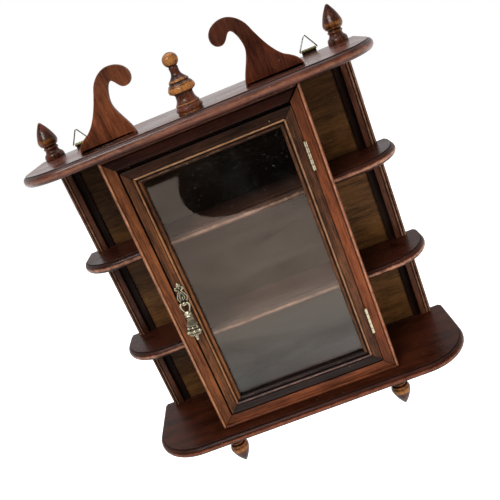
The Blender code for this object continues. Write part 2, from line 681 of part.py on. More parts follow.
def ring_path():
    """Centre line of the triangular wire ring, its foot on the axis."""
    corners = [Vector((-RING_HALF_WIDTH, 0)), Vector((RING_HALF_WIDTH, 0)), Vector((0, RING_HEIGHT))]
    path = []
    for i, corner in enumerate(corners):
        before, after = corners[i - 1], corners[(i + 1) % 3]
        entry = corner + (before - corner).normalized() * RING_CORNER
        leave = corner + (after - corner).normalized() * RING_CORNER
        path += bezier(entry, entry.lerp(corner, 0.6), leave.lerp(corner, 0.6), leave, 4)
        path.append(tuple(leave))
    return path


def add_ring(name, parent, location):
    curve = bpy.data.curves.new(name, "CURVE")
    curve.dimensions = "3D"
    curve.bevel_depth = WIRE_RADIUS
    curve.bevel_resolution = 2
    curve.render_resolution_u = 0
    path = ring_path()
    spline = curve.splines.new("POLY")
    spline.points.add(len(path) - 1)
    for point, (x, z) in zip(spline.points, path):
        point.co = (x, 0.0, z, 1.0)
    spline.use_cyclic_u = True
    curve.materials.append(make_material("steel"))
    ring = bpy.data.objects.new(name, curve)
    ring.location = location
    ring.parent = parent
    bpy.context.scene.collection.objects.link(ring)


def add_hangers(top, cabinet):
    """Strap, triangular ring and two nails on each side of the top board's rear edge."""
    axis_z = CASE_HEIGHT + BOARD_THICKNESS + HANGER_RISE
    axis_y = DEPTH + GAP - (WIRE_RADIUS + GAP)
    nail_z = CASE_HEIGHT + BOARD_THICKNESS / 2
    strap_back = DEPTH + GAP + STRAP_THICKNESS
    for label, side in (("left", -1), ("right", 1)):
        centre = side * HANGER_X
        rings = [[(x, axis_y + y, axis_z + z) for y, z in strap_section()]
                 for x in (centre - STRAP_WIDTH / 2, centre + STRAP_WIDTH / 2)]
        strap = add_solid(f"hanger_strap_{label}", rings, "brass", cabinet)
        add_ring(f"hanger_ring_{label}", cabinet, (centre, axis_y, axis_z))
        for number, offset in ((1, -NAIL_SPACING / 2), (2, NAIL_SPACING / 2)):
            name = f"hanger_nail_{label}_{number}"
            head = (centre + offset, strap_back + GAP, nail_z)
            add_nail(name, cabinet, head, -1, NAIL_LENGTH)
            hole = rod_rings(NAIL_RADIUS + GAP, DEPTH - NAIL_LENGTH, strap_back + OVERCUT, "y",
                             (centre + offset, nail_z), 10)
            tool = add_solid(f"{name}_hole", hole, "steel", cabinet)
            combine(strap, tool)
            combine(top, tool)


def main():
    clear_scene()
    cabinet = add_empty("display_case", (0.0, -DEPTH, -CASE_HEIGHT / 2))
    hinge_line = (HINGE_AXIS[0], HINGE_AXIS[1], 0.0)
    door = add_empty("door_axis", hinge_line, cabinet)
    origin = tuple(-value for value in hinge_line)
    base, top = add_boards(cabinet)
    add_carcass(cabinet)
    face_stile = add_face_frame(cabinet)
    members = add_door(door, origin)
    for level, height in (("upper", DOOR_TOP - HINGE_INSET), ("lower", DOOR_BOTTOM + HINGE_INSET)):
        hinge_parts(level, height, face_stile, members["right"], cabinet, door, origin)
    add_catch(cabinet, door, origin)
    add_finials(base, top, cabinet)
    add_scrolls(cabinet)
    add_pull(door, origin, members["left"])
    add_hangers(top, cabinet)


main()
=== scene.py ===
"""Wall display case: fine shapes, finishes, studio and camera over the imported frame.

Lengths are in metres, and tables marked mm are in millimetres.  Pieces are built in the
cabinet frame, x to the right, y from the door's front back to the wall, z up from the top
of the base board, and are then moved to the row frame.
"""
from math import cos, exp, pi, radians, sin, sqrt

import bmesh
import bpy
from mathutils import Matrix, Vector


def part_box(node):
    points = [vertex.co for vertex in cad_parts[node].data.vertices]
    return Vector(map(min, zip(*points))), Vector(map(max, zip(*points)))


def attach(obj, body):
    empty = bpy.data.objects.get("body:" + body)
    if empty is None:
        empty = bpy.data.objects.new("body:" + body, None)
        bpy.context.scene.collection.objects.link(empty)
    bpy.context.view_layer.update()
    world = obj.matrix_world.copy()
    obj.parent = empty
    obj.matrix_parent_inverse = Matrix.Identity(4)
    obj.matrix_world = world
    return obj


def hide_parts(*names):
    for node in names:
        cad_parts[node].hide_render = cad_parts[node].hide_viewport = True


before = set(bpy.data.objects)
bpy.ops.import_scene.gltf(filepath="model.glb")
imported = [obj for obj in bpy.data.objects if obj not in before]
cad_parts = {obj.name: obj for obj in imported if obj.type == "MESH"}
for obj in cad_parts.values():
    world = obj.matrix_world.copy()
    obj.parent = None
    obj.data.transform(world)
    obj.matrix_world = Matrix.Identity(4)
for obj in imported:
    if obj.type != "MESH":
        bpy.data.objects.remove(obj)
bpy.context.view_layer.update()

ORIGIN = Vector((0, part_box("door_stile_left")[0][1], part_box("base_board")[1][2]))


def extent(node):
    """The low and high corners of a node, in the cabinet frame."""
    return [Vector(corner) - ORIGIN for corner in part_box(node)]


TOP_LOW, TOP_HIGH = extent("top_board")
CASE_HEIGHT, CREST = TOP_LOW.z, TOP_HIGH.z
BOARD_THICKNESS = CREST - CASE_HEIGHT
BOARD_HALF_WIDTH, BOARD_FRONT = TOP_HIGH.x, TOP_LOW.y
DEPTH = extent("base_board")[1].y
CASE_HALF = extent("case_side_right")[1].x
PANEL_FRONT = extent("wing_back_left")[0].y
GAP = 0.0003
SIDES = (("left", -1), ("right", 1))
FINISH = {}


# ---- shapes

class Shape:
    """Points with their wear and grime, and faces, gathered before they become one mesh."""

    def __init__(self):
        self.points, self.faces = [], []

    def loft(self, rings, closed=True, caps=True):
        """Skin rings of (x, y, z, wear, grime and shade) points."""
        base, count = len(self.points), len(rings[0])
        for ring in rings:
            self.points += ring
        for i in range(len(rings) - 1):
            low = base + i * count
            for j in range(count if closed else count - 1):
                k = (j + 1) % count
                self.faces.append((low + j, low + k, low + count + k, low + count + j))
        if caps:
            last = base + (len(rings) - 1) * count
            self.faces.append(tuple(range(base + count - 1, base - 1, -1)))
            self.faces.append(tuple(range(last, last + count)))

    def move(self, matrix):
        self.points = [(*(matrix @ Vector(p[:3])), *p[3:]) for p in self.points]


def new_object(name, data):
    item = bpy.data.objects.new(name, data)
    bpy.context.scene.collection.objects.link(item)
    return item


def as_object(shape, node, suffix, finish, slot, body="cabinet", sharp=38):
    """Make a shape in the cabinet frame into the piece that replaces a node and rides on a body."""
    mesh = bmesh.new()
    layers = [mesh.verts.layers.float.new(label) for label in ("wear", "grime_and_shade")]
    for point in shape.points:
        vertex = mesh.verts.new(Vector(point[:3]) + ORIGIN)
        for layer, value in zip(layers, point[3:]):
            vertex[layer] = value
    mesh.verts.ensure_lookup_table()
    for face in shape.faces:
        mesh.faces.new([mesh.verts[i] for i in face])
    bmesh.ops.recalc_face_normals(mesh, faces=mesh.faces)
    data = bpy.data.meshes.new(f"{node}_{suffix}")
    mesh.to_mesh(data)
    mesh.free()
    data.shade_smooth()
    data.set_sharp_from_angle(angle=radians(sharp))
    data.materials.append(FINISH[finish])
    piece = new_object(data.name, data)
    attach(piece, body)
    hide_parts(node)


def add_lofted(rings, *details, **options):
    """Make a piece of one skin."""
    shape = Shape()
    shape.loft(rings)
    as_object(shape, *details, **options)


def arc(centre, radius, start, end, steps):
    angles = [radians(start + (end - start) * i / steps) for i in range(steps + 1)]
    return [(centre[0] + radius * cos(a), centre[1] + radius * sin(a)) for a in angles]


def circle(radius, count):
    return arc((0, 0), radius, 0, 360 - 360 / count, count - 1)


def bezier(start, first, second, end, steps):
    """Points of a cubic curve, without its end point."""
    points = []
    for i in range(steps):
        t = i / steps
        weights = ((1 - t) ** 3, 3 * t * (1 - t) ** 2, 3 * t * t * (1 - t), t ** 3)
        points.append(tuple(sum(w * c for w, c in zip(weights, column))
                            for column in zip(start, first, second, end)))
    return points


def smooth_path(points, steps, closed=False):
    """Points of a curve that passes through the given points."""
    result, count = [], len(points)
    spans = count if closed else count - 1
    for i in range(spans):
        def at(k):
            return Vector(points[k % count] if closed else points[min(max(k, 0), count - 1)])
        here, after = at(i), at(i + 1)
        leaving, reaching = (after - at(i - 1)) / 6, (at(i + 2) - here) / 6
        result += bezier(here, here + leaving, after - reaching, after, steps)
    return result if closed else result + [tuple(points[-1])]


def tube(shape, path, radii, closed=False, count=12, wear=1, grime_and_shade=0):
    """A round rod along a path, worn at its front and grimy behind."""
    path = [Vector(p) for p in path]
    rings = []
    for i, here in enumerate(path):
        if closed:
            ahead, behind = path[(i + 1) % len(path)], path[i - 1]
        else:
            ahead, behind = path[min(i + 1, len(path) - 1)], path[max(i - 1, 0)]
        along = (ahead - behind).normalized()
        across = along.cross(Vector((0, 1, 0))).normalized()
        depth = along.cross(across).normalized()
        radius = radii[i] if isinstance(radii, (list, tuple)) else radii
        ring = []
        for a, b in circle(1, count):
            point = here + across * (radius * a) + depth * (radius * b)
            front = max(0, -(depth * b).y)
            ring.append((*point, wear * (0.35 + 0.65 * front), grime_and_shade * (1 - front)))
        rings.append(ring)
    if closed:
        rings.append(rings[0])
    shape.loft(rings, caps=not closed)


def ball(shape, centre, radii, wear=1, grime_and_shade=0, count=24, steps=14, lobes=0, depth=0):
    """An ellipsoid, with optional lobes round its y axis; its rim is grimy and its front worn."""
    rings = []
    for i in range(steps + 1):
        angle = pi * (0.02 + 0.96 * i / steps)
        ring = []
        for j in range(count):
            turn = 2 * pi * j / count
            reach = sin(angle) * (1 + depth * cos(lobes * turn))
            front = max(0, cos(angle))
            ring.append((centre[0] + radii[0] * reach * cos(turn),
                         centre[1] - radii[1] * cos(angle),
                         centre[2] + radii[2] * reach * sin(turn),
                         wear * front ** 0.5, grime_and_shade * (1 - front) ** 2))
        rings.append(ring)
    shape.loft(rings)


def lathe(shape, profile, centre, direction=1, count=64, front_rub_and_highlight=0):
    """Turn (radius, height, wear, grime) stations round an upright axis, less worn at the back:
    lighter at the front by wear and in part by painted highlight.
    """
    rings = []
    for radius, height, wear, grime_and_shade in profile:
        rings.append([(centre[0] + a, centre[1] + b, centre[2] + direction * height,
                       wear * (1 - front_rub_and_highlight * (1 + b / radius) / 2), grime_and_shade)
                      for a, b in circle(radius, count)])
    shape.loft(rings)


# ---- node helpers

def new_material(name):
    material = bpy.data.materials.new(name)
    material.use_nodes = True
    tree = material.node_tree
    return material, tree, tree.nodes["Principled BSDF"]


def fill(tree, item, inputs):
    """Set a node's inputs from values, colours without alpha, or the sockets to link from."""
    for key, value in inputs.items():
        socket = item.inputs[key]
        if isinstance(value, bpy.types.NodeSocket):
            tree.links.new(value, socket)
        else:
            socket.default_value = (*value, 1) if socket.type == "RGBA" else value


def put(tree, kind, inputs=None, **settings):
    """Add a shader node."""
    item = tree.nodes.new("ShaderNode" + kind)
    for key, value in settings.items():
        setattr(item, key, value)
    fill(tree, item, inputs or {})
    return item


def maths(tree, operation, first, second=0, third=0):
    return put(tree, "Math", {0: first, 1: second, 2: third}, operation=operation).outputs[0]


def times(tree, first, second):
    return maths(tree, "MULTIPLY", first, second)


def scaled(tree, value, factor, plus):
    return maths(tree, "MULTIPLY_ADD", value, factor, plus)


def remap(tree, value, low, high, to_low=0, to_high=1):
    inputs = {"Value": value, "From Min": low, "From Max": high, "To Min": to_low,
              "To Max": to_high}
    return put(tree, "MapRange", inputs, interpolation_type="SMOOTHSTEP").outputs["Result"]


def blend(tree, amount, first, second):
    return put(tree, "Mix", {0: amount, 6: first, 7: second}, data_type="RGBA").outputs[2]


def speckle(tree, vector, scale, detail=3, roughness=0.55, distortion=0):
    inputs = {"Vector": vector, "Scale": scale, "Detail": detail, "Roughness": roughness,
              "Distortion": distortion}
    return put(tree, "TexNoise", inputs).outputs["Fac"]


def ramp(tree, value, stops):
    item = put(tree, "ValToRGB", {"Fac": value})
    elements = item.color_ramp.elements
    while len(elements) < len(stops):
        elements.new(0.5)
    for element, (position, colour) in zip(elements, stops):
        element.position = position
        element.color = (*colour, 1)
    return item.outputs["Color"]


def attribute(tree, name):
    return put(tree, "Attribute", attribute_name=name).outputs["Fac"]


def position(tree):
    return put(tree, "TexCoord").outputs["Object"]


def upright(tree, place):
    return put(tree, "SeparateXYZ", {"Vector": place}).outputs["Z"]


def bumps(tree, height, strength, distance):
    inputs = {"Height": height, "Strength": strength, "Distance": distance}
    return put(tree, "Bump", inputs).outputs["Normal"]


STRETCHES = {"x": (0.075, 1, 1), "z": (1, 1, 0.075)}
# Noises: scale per metre, detail, roughness, distortion.
STREAKS, FIGURE = (560, 6, 0.78), (95, 3, 0.5, 1.6)
PORES, BLOTCHES = (1500, 2, 0.6), (22, 4, 0.6)
RUBBING, CHIPS, NICKS = (130, 5, 0.65), (420, 3, 0.7), (330, 2, 0.6)
CHIP_COLOUR, NICK_COLOUR = (0.42, 0.25, 0.15), (0.36, 0.22, 0.14)
# Near black that both grime and painted shade blend into.
GRIME_AND_SHADE_COLOUR = (0.004, 0.002, 0.0015)
TONE_MIDDLE, TONE_SPREAD = 0.57, 0.12
# Painted shade on the back panels begins at this share of the case height and deepens upwards.
TOP_SHADE_START = 0.62


def wood(key, grain, dark, light, worn, kind="mahogany", gloss=0.34, wear_low=0.42, contrast=1,
         offset=(0, 0, 0), coat=0.03, specular=0.14, figured=0.1, top_shade=0):
    """Stained and varnished wood with streaks, figure, pores, worn arrises, and grime and painted
    shade in quirks, gaps and recesses.

    Its dark, light and worn colours are given in thousandths.
    """
    material, tree, shader = new_material(f"{key}_{kind}")
    dark, light, worn = ([part / 1000 for part in colour] for colour in (dark, light, worn))
    place = position(tree)
    shifted = put(tree, "Mapping", {"Vector": place, "Location": offset}).outputs[0]
    stretched = put(tree, "Mapping", {"Vector": shifted, "Scale": STRETCHES[grain]}).outputs[0]
    streaks = speckle(tree, stretched, *STREAKS)
    blotch = speckle(tree, shifted, *BLOTCHES)
    inputs = {"Vector": stretched, "Scale": 26, "Distortion": 9, "Detail": 3, "Detail Scale": 1.3}
    rings = put(tree, "TexWave", inputs, bands_direction="DIAGONAL").outputs["Fac"]
    tone = scaled(tree, streaks, 0.72, 0.31 - 0.5 * figured)
    tone = scaled(tree, speckle(tree, stretched, *FIGURE), figured, tone)
    tone = scaled(tree, rings, 0.08, tone)
    tone = scaled(tree, blotch, 0.34, tone)
    tone = maths(tree, "SUBTRACT", tone, 0.31)
    spread = TONE_SPREAD / contrast
    middle = [(a + b) / 2 for a, b in zip(dark, light)]
    colour = ramp(tree, tone, [(TONE_MIDDLE - spread, dark), (TONE_MIDDLE, middle),
                               (TONE_MIDDLE + spread, light)])
    pits = remap(tree, speckle(tree, stretched, *PORES), 0.3, 0.45, 1, 0)
    colour = blend(tree, times(tree, pits, 0.55), colour, [part * 0.25 for part in dark])
    wear = attribute(tree, "wear")
    amount = maths(tree, "SUBTRACT", wear, 0.35)
    amount = scaled(tree, speckle(tree, shifted, *RUBBING), 0.7, amount)
    amount = remap(tree, amount, wear_low, wear_low + 0.45)
    amount = times(tree, amount, remap(tree, streaks, 0.3, 0.62, 0.35, 1))
    colour = blend(tree, amount, colour, worn)
    chips = remap(tree, speckle(tree, shifted, *CHIPS), 0.66, 0.7)
    chips = times(tree, chips, remap(tree, wear, 0.45, 0.8))
    colour = blend(tree, times(tree, chips, 0.7), colour, CHIP_COLOUR)
    nicks = remap(tree, speckle(tree, shifted, *NICKS), 0.715, 0.745)
    colour = blend(tree, times(tree, nicks, 0.55), colour, NICK_COLOUR)
    # Darkened towards near black by grime and by painted shade in quirks, gaps, rebates and the
    # inside of the case.
    grime_and_shade = times(tree, attribute(tree, "grime_and_shade"), 0.96)
    # Painted shade: darker towards the top of the case, as under the top board.
    if top_shade:
        low, high = (ORIGIN.z + CASE_HEIGHT * part for part in (TOP_SHADE_START, 1))
        shading = remap(tree, upright(tree, place), low, high, 0, top_shade)
        grime_and_shade = maths(tree, "MAXIMUM", grime_and_shade, shading)
    colour = blend(tree, grime_and_shade, colour, GRIME_AND_SHADE_COLOUR)
    rough = remap(tree, blotch, 0.35, 0.65, gloss - 0.05, gloss + 0.08)
    rough = scaled(tree, amount, 0.1, rough)
    rough = scaled(tree, grime_and_shade, 0.4, rough)
    height = scaled(tree, pits, -0.8, times(tree, streaks, 0.6))
    height = scaled(tree, chips, -1.2, height)
    fill(tree, shader, {"Base Color": colour, "Roughness": rough, "Specular IOR Level": specular,
                        "Coat Weight": coat, "Coat Roughness": 0.12,
                        "Normal": bumps(tree, height, 0.35, 0.00025)})
    FINISH[key] = material


def metal(key, name, bright, dull, recess, gloss, scale=500):
    """Metal with a patina: dark in the recesses, bright on what hands and cloths rub."""
    material, tree, shader = new_material(name)
    place = position(tree)
    patches = speckle(tree, place, scale, 4, 0.6)
    fine = speckle(tree, place, scale * 6, 3, 0.6)
    rub = scaled(tree, patches, 0.55, maths(tree, "SUBTRACT", attribute(tree, "wear"), 0.28))
    rub = remap(tree, rub, 0.15, 0.85)
    colour = blend(tree, rub, dull, bright)
    grime_and_shade = times(tree, attribute(tree, "grime_and_shade"), remap(tree, fine, 0.25, 0.5, 0.75, 1))
    rough = scaled(tree, rub, -0.12, remap(tree, fine, 0.3, 0.7, gloss, gloss + 0.16))
    fill(tree, shader, {"Base Color": blend(tree, grime_and_shade, colour, recess),
                        "Metallic": remap(tree, grime_and_shade, 0.25, 0.9, 1, 0.15),
                        "Roughness": scaled(tree, grime_and_shade, 0.25, rough),
                        "Normal": bumps(tree, fine, 0.25, 0.00012)})
    FINISH[key] = material


def pane_glass():
    """Thin sheet glass: clear, mirror-like towards grazing angles, with a little dust, and a
    painted reflection that is streaked and warmer and darker higher up.
    """
    material, tree, shader = new_material("pane_glass")
    tree.nodes.remove(shader)
    place = position(tree)
    bump = bumps(tree, speckle(tree, place, 7, 1), 0.3, 0.0006)
    facing = put(tree, "LayerWeight", {"Blend": 0.5}).outputs["Facing"]
    mirror = scaled(tree, maths(tree, "POWER", facing, 5), 0.9, 0.053)
    # Painted reflection: diagonal streaks make the glass reflect more in some places and less in
    # others.
    inputs = {"Vector": place, "Rotation": (0, 0.25, 0), "Scale": (0.22, 1, 1)}
    reflection_streaks = speckle(tree, put(tree, "Mapping", inputs).outputs[0], 24, 4, 0.55, 0.6)
    mirror = times(tree, mirror, remap(tree, reflection_streaks, 0.32, 0.68, 0.72, 1.25))
    clear = put(tree, "BsdfTransparent", {"Color": (0.95, 0.965, 0.955)}).outputs[0]
    smears = remap(tree, speckle(tree, place, 24, 4, 0.6, 1), 0.4, 0.75, 0.015, 0.05)
    # Painted reflection colour: near white low on the pane, warmer and darker higher up.
    tint = ramp(tree, scaled(tree, upright(tree, place), 2.6, 0.5),
                [(0.15, (1, 0.95, 0.91)), (0.42, (0.98, 0.78, 0.65)), (0.72, (0.78, 0.6, 0.51))])
    inputs = {"Color": tint, "Roughness": smears, "Normal": bump}
    gloss = put(tree, "BsdfGlossy", inputs).outputs[0]
    glass = put(tree, "MixShader", {0: mirror, 1: clear, 2: gloss}).outputs[0]
    dust = put(tree, "BsdfDiffuse", {"Color": (0.75, 0.72, 0.68)}).outputs[0]
    specks = remap(tree, speckle(tree, place, 420, 2, 0.6), 0.69, 0.74, 0.0003, 0.12)
    film = remap(tree, speckle(tree, place, 15, 4, 0.6), 0.45, 0.75, 0, 0.004)
    dusty = maths(tree, "ADD", specks, film)
    layered = put(tree, "MixShader", {0: dusty, 1: glass, 2: dust}).outputs[0]
    fill(tree, tree.nodes["Material Output"], {"Surface": layered})
    FINISH["glass"] = material


def add_finishes():
    wood("board", "x", (30, 6.2, 3.4), (155, 40, 20), (240, 98, 55), gloss=0.28, coat=0.2,
         specular=0.3)
    wood("base", "x", (13, 2.9, 1.3), (68, 15.5, 6.2), (290, 90, 42), gloss=0.32, coat=0.04,
         specular=0.15, offset=(0.7, 0.2, 0.1))
    wood("shelf", "x", (14, 3.4, 1.8), (66, 16, 7.8), (520, 245, 150), gloss=0.3, coat=0.06,
         offset=(0.3, 0.1, 0.2))
    wood("inner_shelf", "x", (50, 19, 12), (150, 64, 44), (560, 330, 240), offset=(0.2, 0.5, 0.2))
    wood("stile", "z", (70, 17.5, 5.5), (255, 80, 23), (520, 250, 135))
    wood("stile_red", "z", (82, 19.5, 7.2), (250, 68, 23), (510, 240, 135), offset=(0.2, 0, 0.4))
    # The bottom rail's worn colour is darker than its light one: painted shade on its lower bead.
    wood("rail", "x", (50, 11.5, 4.2), (230, 62, 22), (100, 28, 12))
    # A darker copy of the rail finish for the top rail: painted shade under the top board.
    wood("rail_shaded", "x", (6.5, 1.8, 0.9), (36, 7.8, 3.4), (100, 42, 26), specular=0.12)
    wood("case", "z", (24, 6.8, 3.4), (96, 29, 13), (230, 110, 65), gloss=0.4)
    wood("scroll_left", "z", (52, 11.2, 3.8), (205, 58, 20), (250, 100, 55))
    wood("scroll_right", "z", (24, 5, 1.8), (100, 22.5, 8.2), (230, 90, 50), offset=(0.1, 0.3, 0.2))
    wood("post", "z", (28, 8.8, 4.2), (130, 44, 21), (360, 200, 125), offset=(0.1, 0.2, 0),
         coat=0.02, specular=0.12)
    wood("door_left", "z", (36, 11, 3.6), (205, 72, 24), (340, 160, 68), "wood", 0.38, contrast=1.1)
    wood("door_right", "z", (26, 8.8, 3.8), (160, 60, 26), (360, 190, 100), "wood", 0.38,
         contrast=1.1, offset=(0.4, 0.1, 0))
    # The door's top rail is much darker: painted shade under the top board.
    wood("door_top", "x", (6, 2.3, 1), (40, 14, 6.2), (330, 170, 78), "wood", 0.38, specular=0.12)
    # The door's bottom rail is greyer: painted reflection over its stain.
    wood("door_bottom", "x", (6, 2.8, 2.2), (28, 14.5, 11), (250, 135, 115), "wood", specular=0.2)
    # The back panels get painted shade towards the top of the case.
    wood("back", "x", (42, 17, 4.8), (170, 74, 22.5), (220, 115, 48), "plywood", 0.52,
         offset=(0.5, 0, 0.3), coat=0.02, figured=0.06, specular=0.15, top_shade=0.62)
    wood("turned", "z", (16, 4.2, 2.2), (110, 29, 13), (370, 145, 34), "honey", 0.24, wear_low=0.26,
         contrast=1.5, coat=0.16, specular=0.16)
    metal("strap", "strap_brass", (0.17, 0.15, 0.075), (0.1, 0.082, 0.04), (0.02, 0.015, 0.008),
          0.5)
    metal("brass", "hinge_brass", (0.68, 0.6, 0.41), (0.36, 0.29, 0.16), (0.04, 0.028, 0.012), 0.26)
    metal("antique", "antique_brass", (0.58, 0.52, 0.36), (0.18, 0.14, 0.08), (0.01, 0.008, 0.005),
          0.3)
    metal("steel", "wire_steel", (0.74, 0.73, 0.69), (0.42, 0.4, 0.36), (0.06, 0.05, 0.04), 0.24)
    metal("magnet", "catch_brown", (0.06, 0.042, 0.03), (0.035, 0.024, 0.017), (0.01, 0.008, 0.006),
          0.5)
    pane_glass()


# ---- boards and shelves

# Board edge, mm: inset from the widest line, height below the top, wear, grime. The quirk under the
# lip is painted near black: a painted shadow line.
BOARD_LIP = [
    (7.5, 0, 0, 0), (4.9, 0, 0.1, 0), (4.35, -0.02, 0.45, 0.05), (4.2, -0.2, 0.15, 0.6),
    (4.15, -0.8, 0, 1), (4, -1.5, 0, 1), (3.6, -1.45, 0, 1)]
BOARD_LIP_HEIGHT = 1.2
ROUND_TOP, ROUND_BOTTOM = 3.6, 5
BOARD_CORNER = 0.058
WING_HALF_WIDTH, WING_FRONT, WING_CORNER = 0.1962, 0.033, 0.052
POST_OUTER, POST_INNER, POST_FRONT = 0.1805, 0.1669, 0.0957
# A lip sits behind each post, in front of the back panel; its faces are painted near black as the
# shade between post and panel.
LIP_THICKNESS = 0.002
LIP_INNER = POST_INNER - 0.0084
LIP_BACK = PANEL_FRONT - GAP
LIP_FRONT = LIP_BACK - LIP_THICKNESS


def board_edge(round_shade, steps=18):
    """Stations of the moulded edge: a stepped lip, then a round with painted shade above its worn
    middle and below it.
    """
    levels = list(BOARD_LIP)
    half_height = (BOARD_THICKNESS * 1000 - BOARD_LIP_HEIGHT) / 2
    for i in range(steps + 1):
        angle = pi / 2 - pi * i / steps
        reach = ROUND_TOP if angle > 0 else ROUND_BOTTOM
        height = -BOARD_LIP_HEIGHT - half_height * (1 - sin(angle))
        wear = max(0, cos(angle + 0.05)) ** 4 * 0.74
        # Painted shade on the upper half of the round, and on its underside.
        grime_and_shade = max(round_shade * sin(angle - 0.15), 1.5 * (-sin(angle) - 0.55), 0)
        levels.append((reach * (1 - cos(angle)), height, wear, grime_and_shade))
    levels.append((ROUND_BOTTOM + 3, -BOARD_THICKNESS * 1000, 0, 0))
    return [(inset / 1000, height / 1000, wear, grime_and_shade) for inset, height, wear, grime_and_shade in levels]


def full_board_outline(inset):
    half = BOARD_HALF_WIDTH - inset
    front = BOARD_FRONT + inset
    radius = BOARD_CORNER - inset
    left = arc((-half + radius, front + radius), radius, 180, 270, 36)
    right = arc((half - radius, front + radius), radius, 270, 360, 36)
    return [(-half, DEPTH)] + left + right + [(half, DEPTH)]


def wing_shelf_outline(inset, side):
    half = WING_HALF_WIDTH - inset
    front = WING_FRONT + inset
    radius = WING_CORNER - inset
    outline = [(CASE_HALF + GAP, LIP_BACK), (CASE_HALF + GAP, front)]
    outline += arc((half - radius, front + radius), radius, 270, 360, 30)
    outline += [(half, DEPTH), (POST_OUTER + GAP, DEPTH), (POST_OUTER + GAP, POST_FRONT - GAP),
                (POST_INNER - GAP, POST_FRONT - GAP), (POST_INNER - GAP, LIP_FRONT - GAP),
                (LIP_INNER - GAP, LIP_FRONT - GAP), (LIP_INNER - GAP, LIP_BACK)]
    return [(side * x, y) for x, y in outline]


def case_shelf_outline(inset):
    low, high = extent("case_shelf_lower")
    front = low.y + inset
    return [(-high.x, LIP_BACK), (-high.x, front), (high.x, front), (high.x, LIP_BACK)]


def add_board(node, outline, finish, round_shade, face_shade=0):
    top = extent(node)[1].z
    levels = board_edge(round_shade)
    # Painted shade on the board's top and bottom faces, as on the shelves inside the case.
    for face in (0, -1):
        inset, height, wear, grime_and_shade = levels[face]
        levels[face] = (inset, height, wear, max(grime_and_shade, face_shade))
    add_lofted([[(x, y, top + height, wear, grime_and_shade) for x, y in outline(inset)]
                for inset, height, wear, grime_and_shade in levels], node, "moulded", finish, "mahogany")


def add_boards():
    add_board("base_board", full_board_outline, "base", 0.25)
    add_board("top_board", full_board_outline, "board", 0.72)
    for level in ("upper", "lower"):
        add_board(f"case_shelf_{level}", case_shelf_outline, "inner_shelf", 0.05, 0.2)
        for label, side in SIDES:
            add_board(f"wing_shelf_{level}_{label}",
                      lambda inset, side=side: wing_shelf_outline(inset, side), "shelf", 0.32)


def add_posts():
    """Corner posts at the back of the wings, two beads on the outer side of each face."""
    bead_width = (POST_OUTER - POST_INNER) / 4
    ease = 0.0008
    corner = arc((POST_INNER + ease, POST_FRONT + ease), ease, 180, 270, 5)
    section = [(x, y, 0.35, 0) for x, y in corner]
    flat_end = POST_OUTER - 2.1 * bead_width
    section += [(flat_end - 0.0006, POST_FRONT, 0.05, 0), (flat_end, POST_FRONT + 0.0003, 0, 1)]
    for widths_in in (1.5, 0.5):
        centre = POST_OUTER - widths_in * bead_width
        for x, y in arc((centre, POST_FRONT + bead_width / 2), bead_width / 2, 190, 350, 12):
            crest = max(0, (POST_FRONT + bead_width / 2 - y) / (bead_width / 2))
            section.append((x, y, crest ** 2 * 0.72, (1 - crest) ** 3 * 0.8))
    # The lip's faces, last in this section, are painted near black as shade between post and panel;
    # the quirks beside the beads are painted shade too.
    section += [(POST_OUTER, POST_FRONT + bead_width / 2, 0.3, 0),
                (POST_OUTER, DEPTH - 0.0005, 0.2, 0), (POST_OUTER - 0.0005, DEPTH, 0, 0),
                (POST_INNER, DEPTH, 0, 0), (POST_INNER, LIP_BACK, 0, 0.9),
                (LIP_INNER, LIP_BACK, 0, 0.9), (LIP_INNER, LIP_FRONT + 0.0005, 0.1, 0.85),
                (LIP_INNER + 0.0005, LIP_FRONT, 0.1, 0.88), (POST_INNER - 0.0002, LIP_FRONT, 0, 1),
                (POST_INNER, LIP_FRONT - 0.0002, 0, 0.8), (POST_INNER, LIP_FRONT - 0.002, 0, 0.2)]
    steps = 24
    for label, side in SIDES:
        node = f"wing_post_{label}"
        low, high = (corner.z for corner in extent(node))
        rings = [[(side * x, y, low + (high - low) * i / steps, wear, grime_and_shade)
                  for x, y, wear, grime_and_shade in section] for i in range(steps + 1)]
        add_lofted(rings, node, "beaded", "post", "mahogany")


def add_case_back():
    """The case's back panel, its inner face painted dark: painted shade inside the case."""
    low, high = extent("case_back_panel")
    ease = 0.0005
    rings = []
    for inset, y, grime_and_shade in ((0.004, low.y, 0.9), (ease, low.y, 0.92), (0, low.y + ease, 0.5),
                            (0, high.y - ease, 0.2), (ease, high.y, 0.1), (0.004, high.y, 0)):
        x0, x1, z0, z1 = low.x + inset, high.x - inset, low.z + inset, high.z - inset
        rings.append([(x, y, z, 0, grime_and_shade) for x, z in ((x0, z0), (x1, z0), (x1, z1), (x0, z1))])
    add_lofted(rings, "case_back_panel", "ply", "back", "plywood")


def keep_node(name, finish, bevel=0.0004):
    """A CAD node that stays, with softened edges and its finish."""
    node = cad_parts[name]
    node.data.materials.clear()
    node.data.materials.append(FINISH[finish])
    if bevel:
        modifier = node.modifiers.new("arris", "BEVEL")
        modifier.width = bevel
        modifier.segments = 3
        modifier.limit_method = "ANGLE"


def keep_nodes():
    for label, _ in SIDES:
        keep_node(f"case_side_{label}", "case")
        keep_node(f"wing_back_{label}", "back")
    for label in ("left", "right", "top", "bottom"):
        keep_node(f"glass_bead_{label}", f"door_{label}", 0.0002)
    keep_node("glass_pane", "glass", 0)
    keep_node("magnet_catch", "magnet", 0.0006)
    keep_node("strike_plate", "steel", 0.0002)


# ---- face frame and door

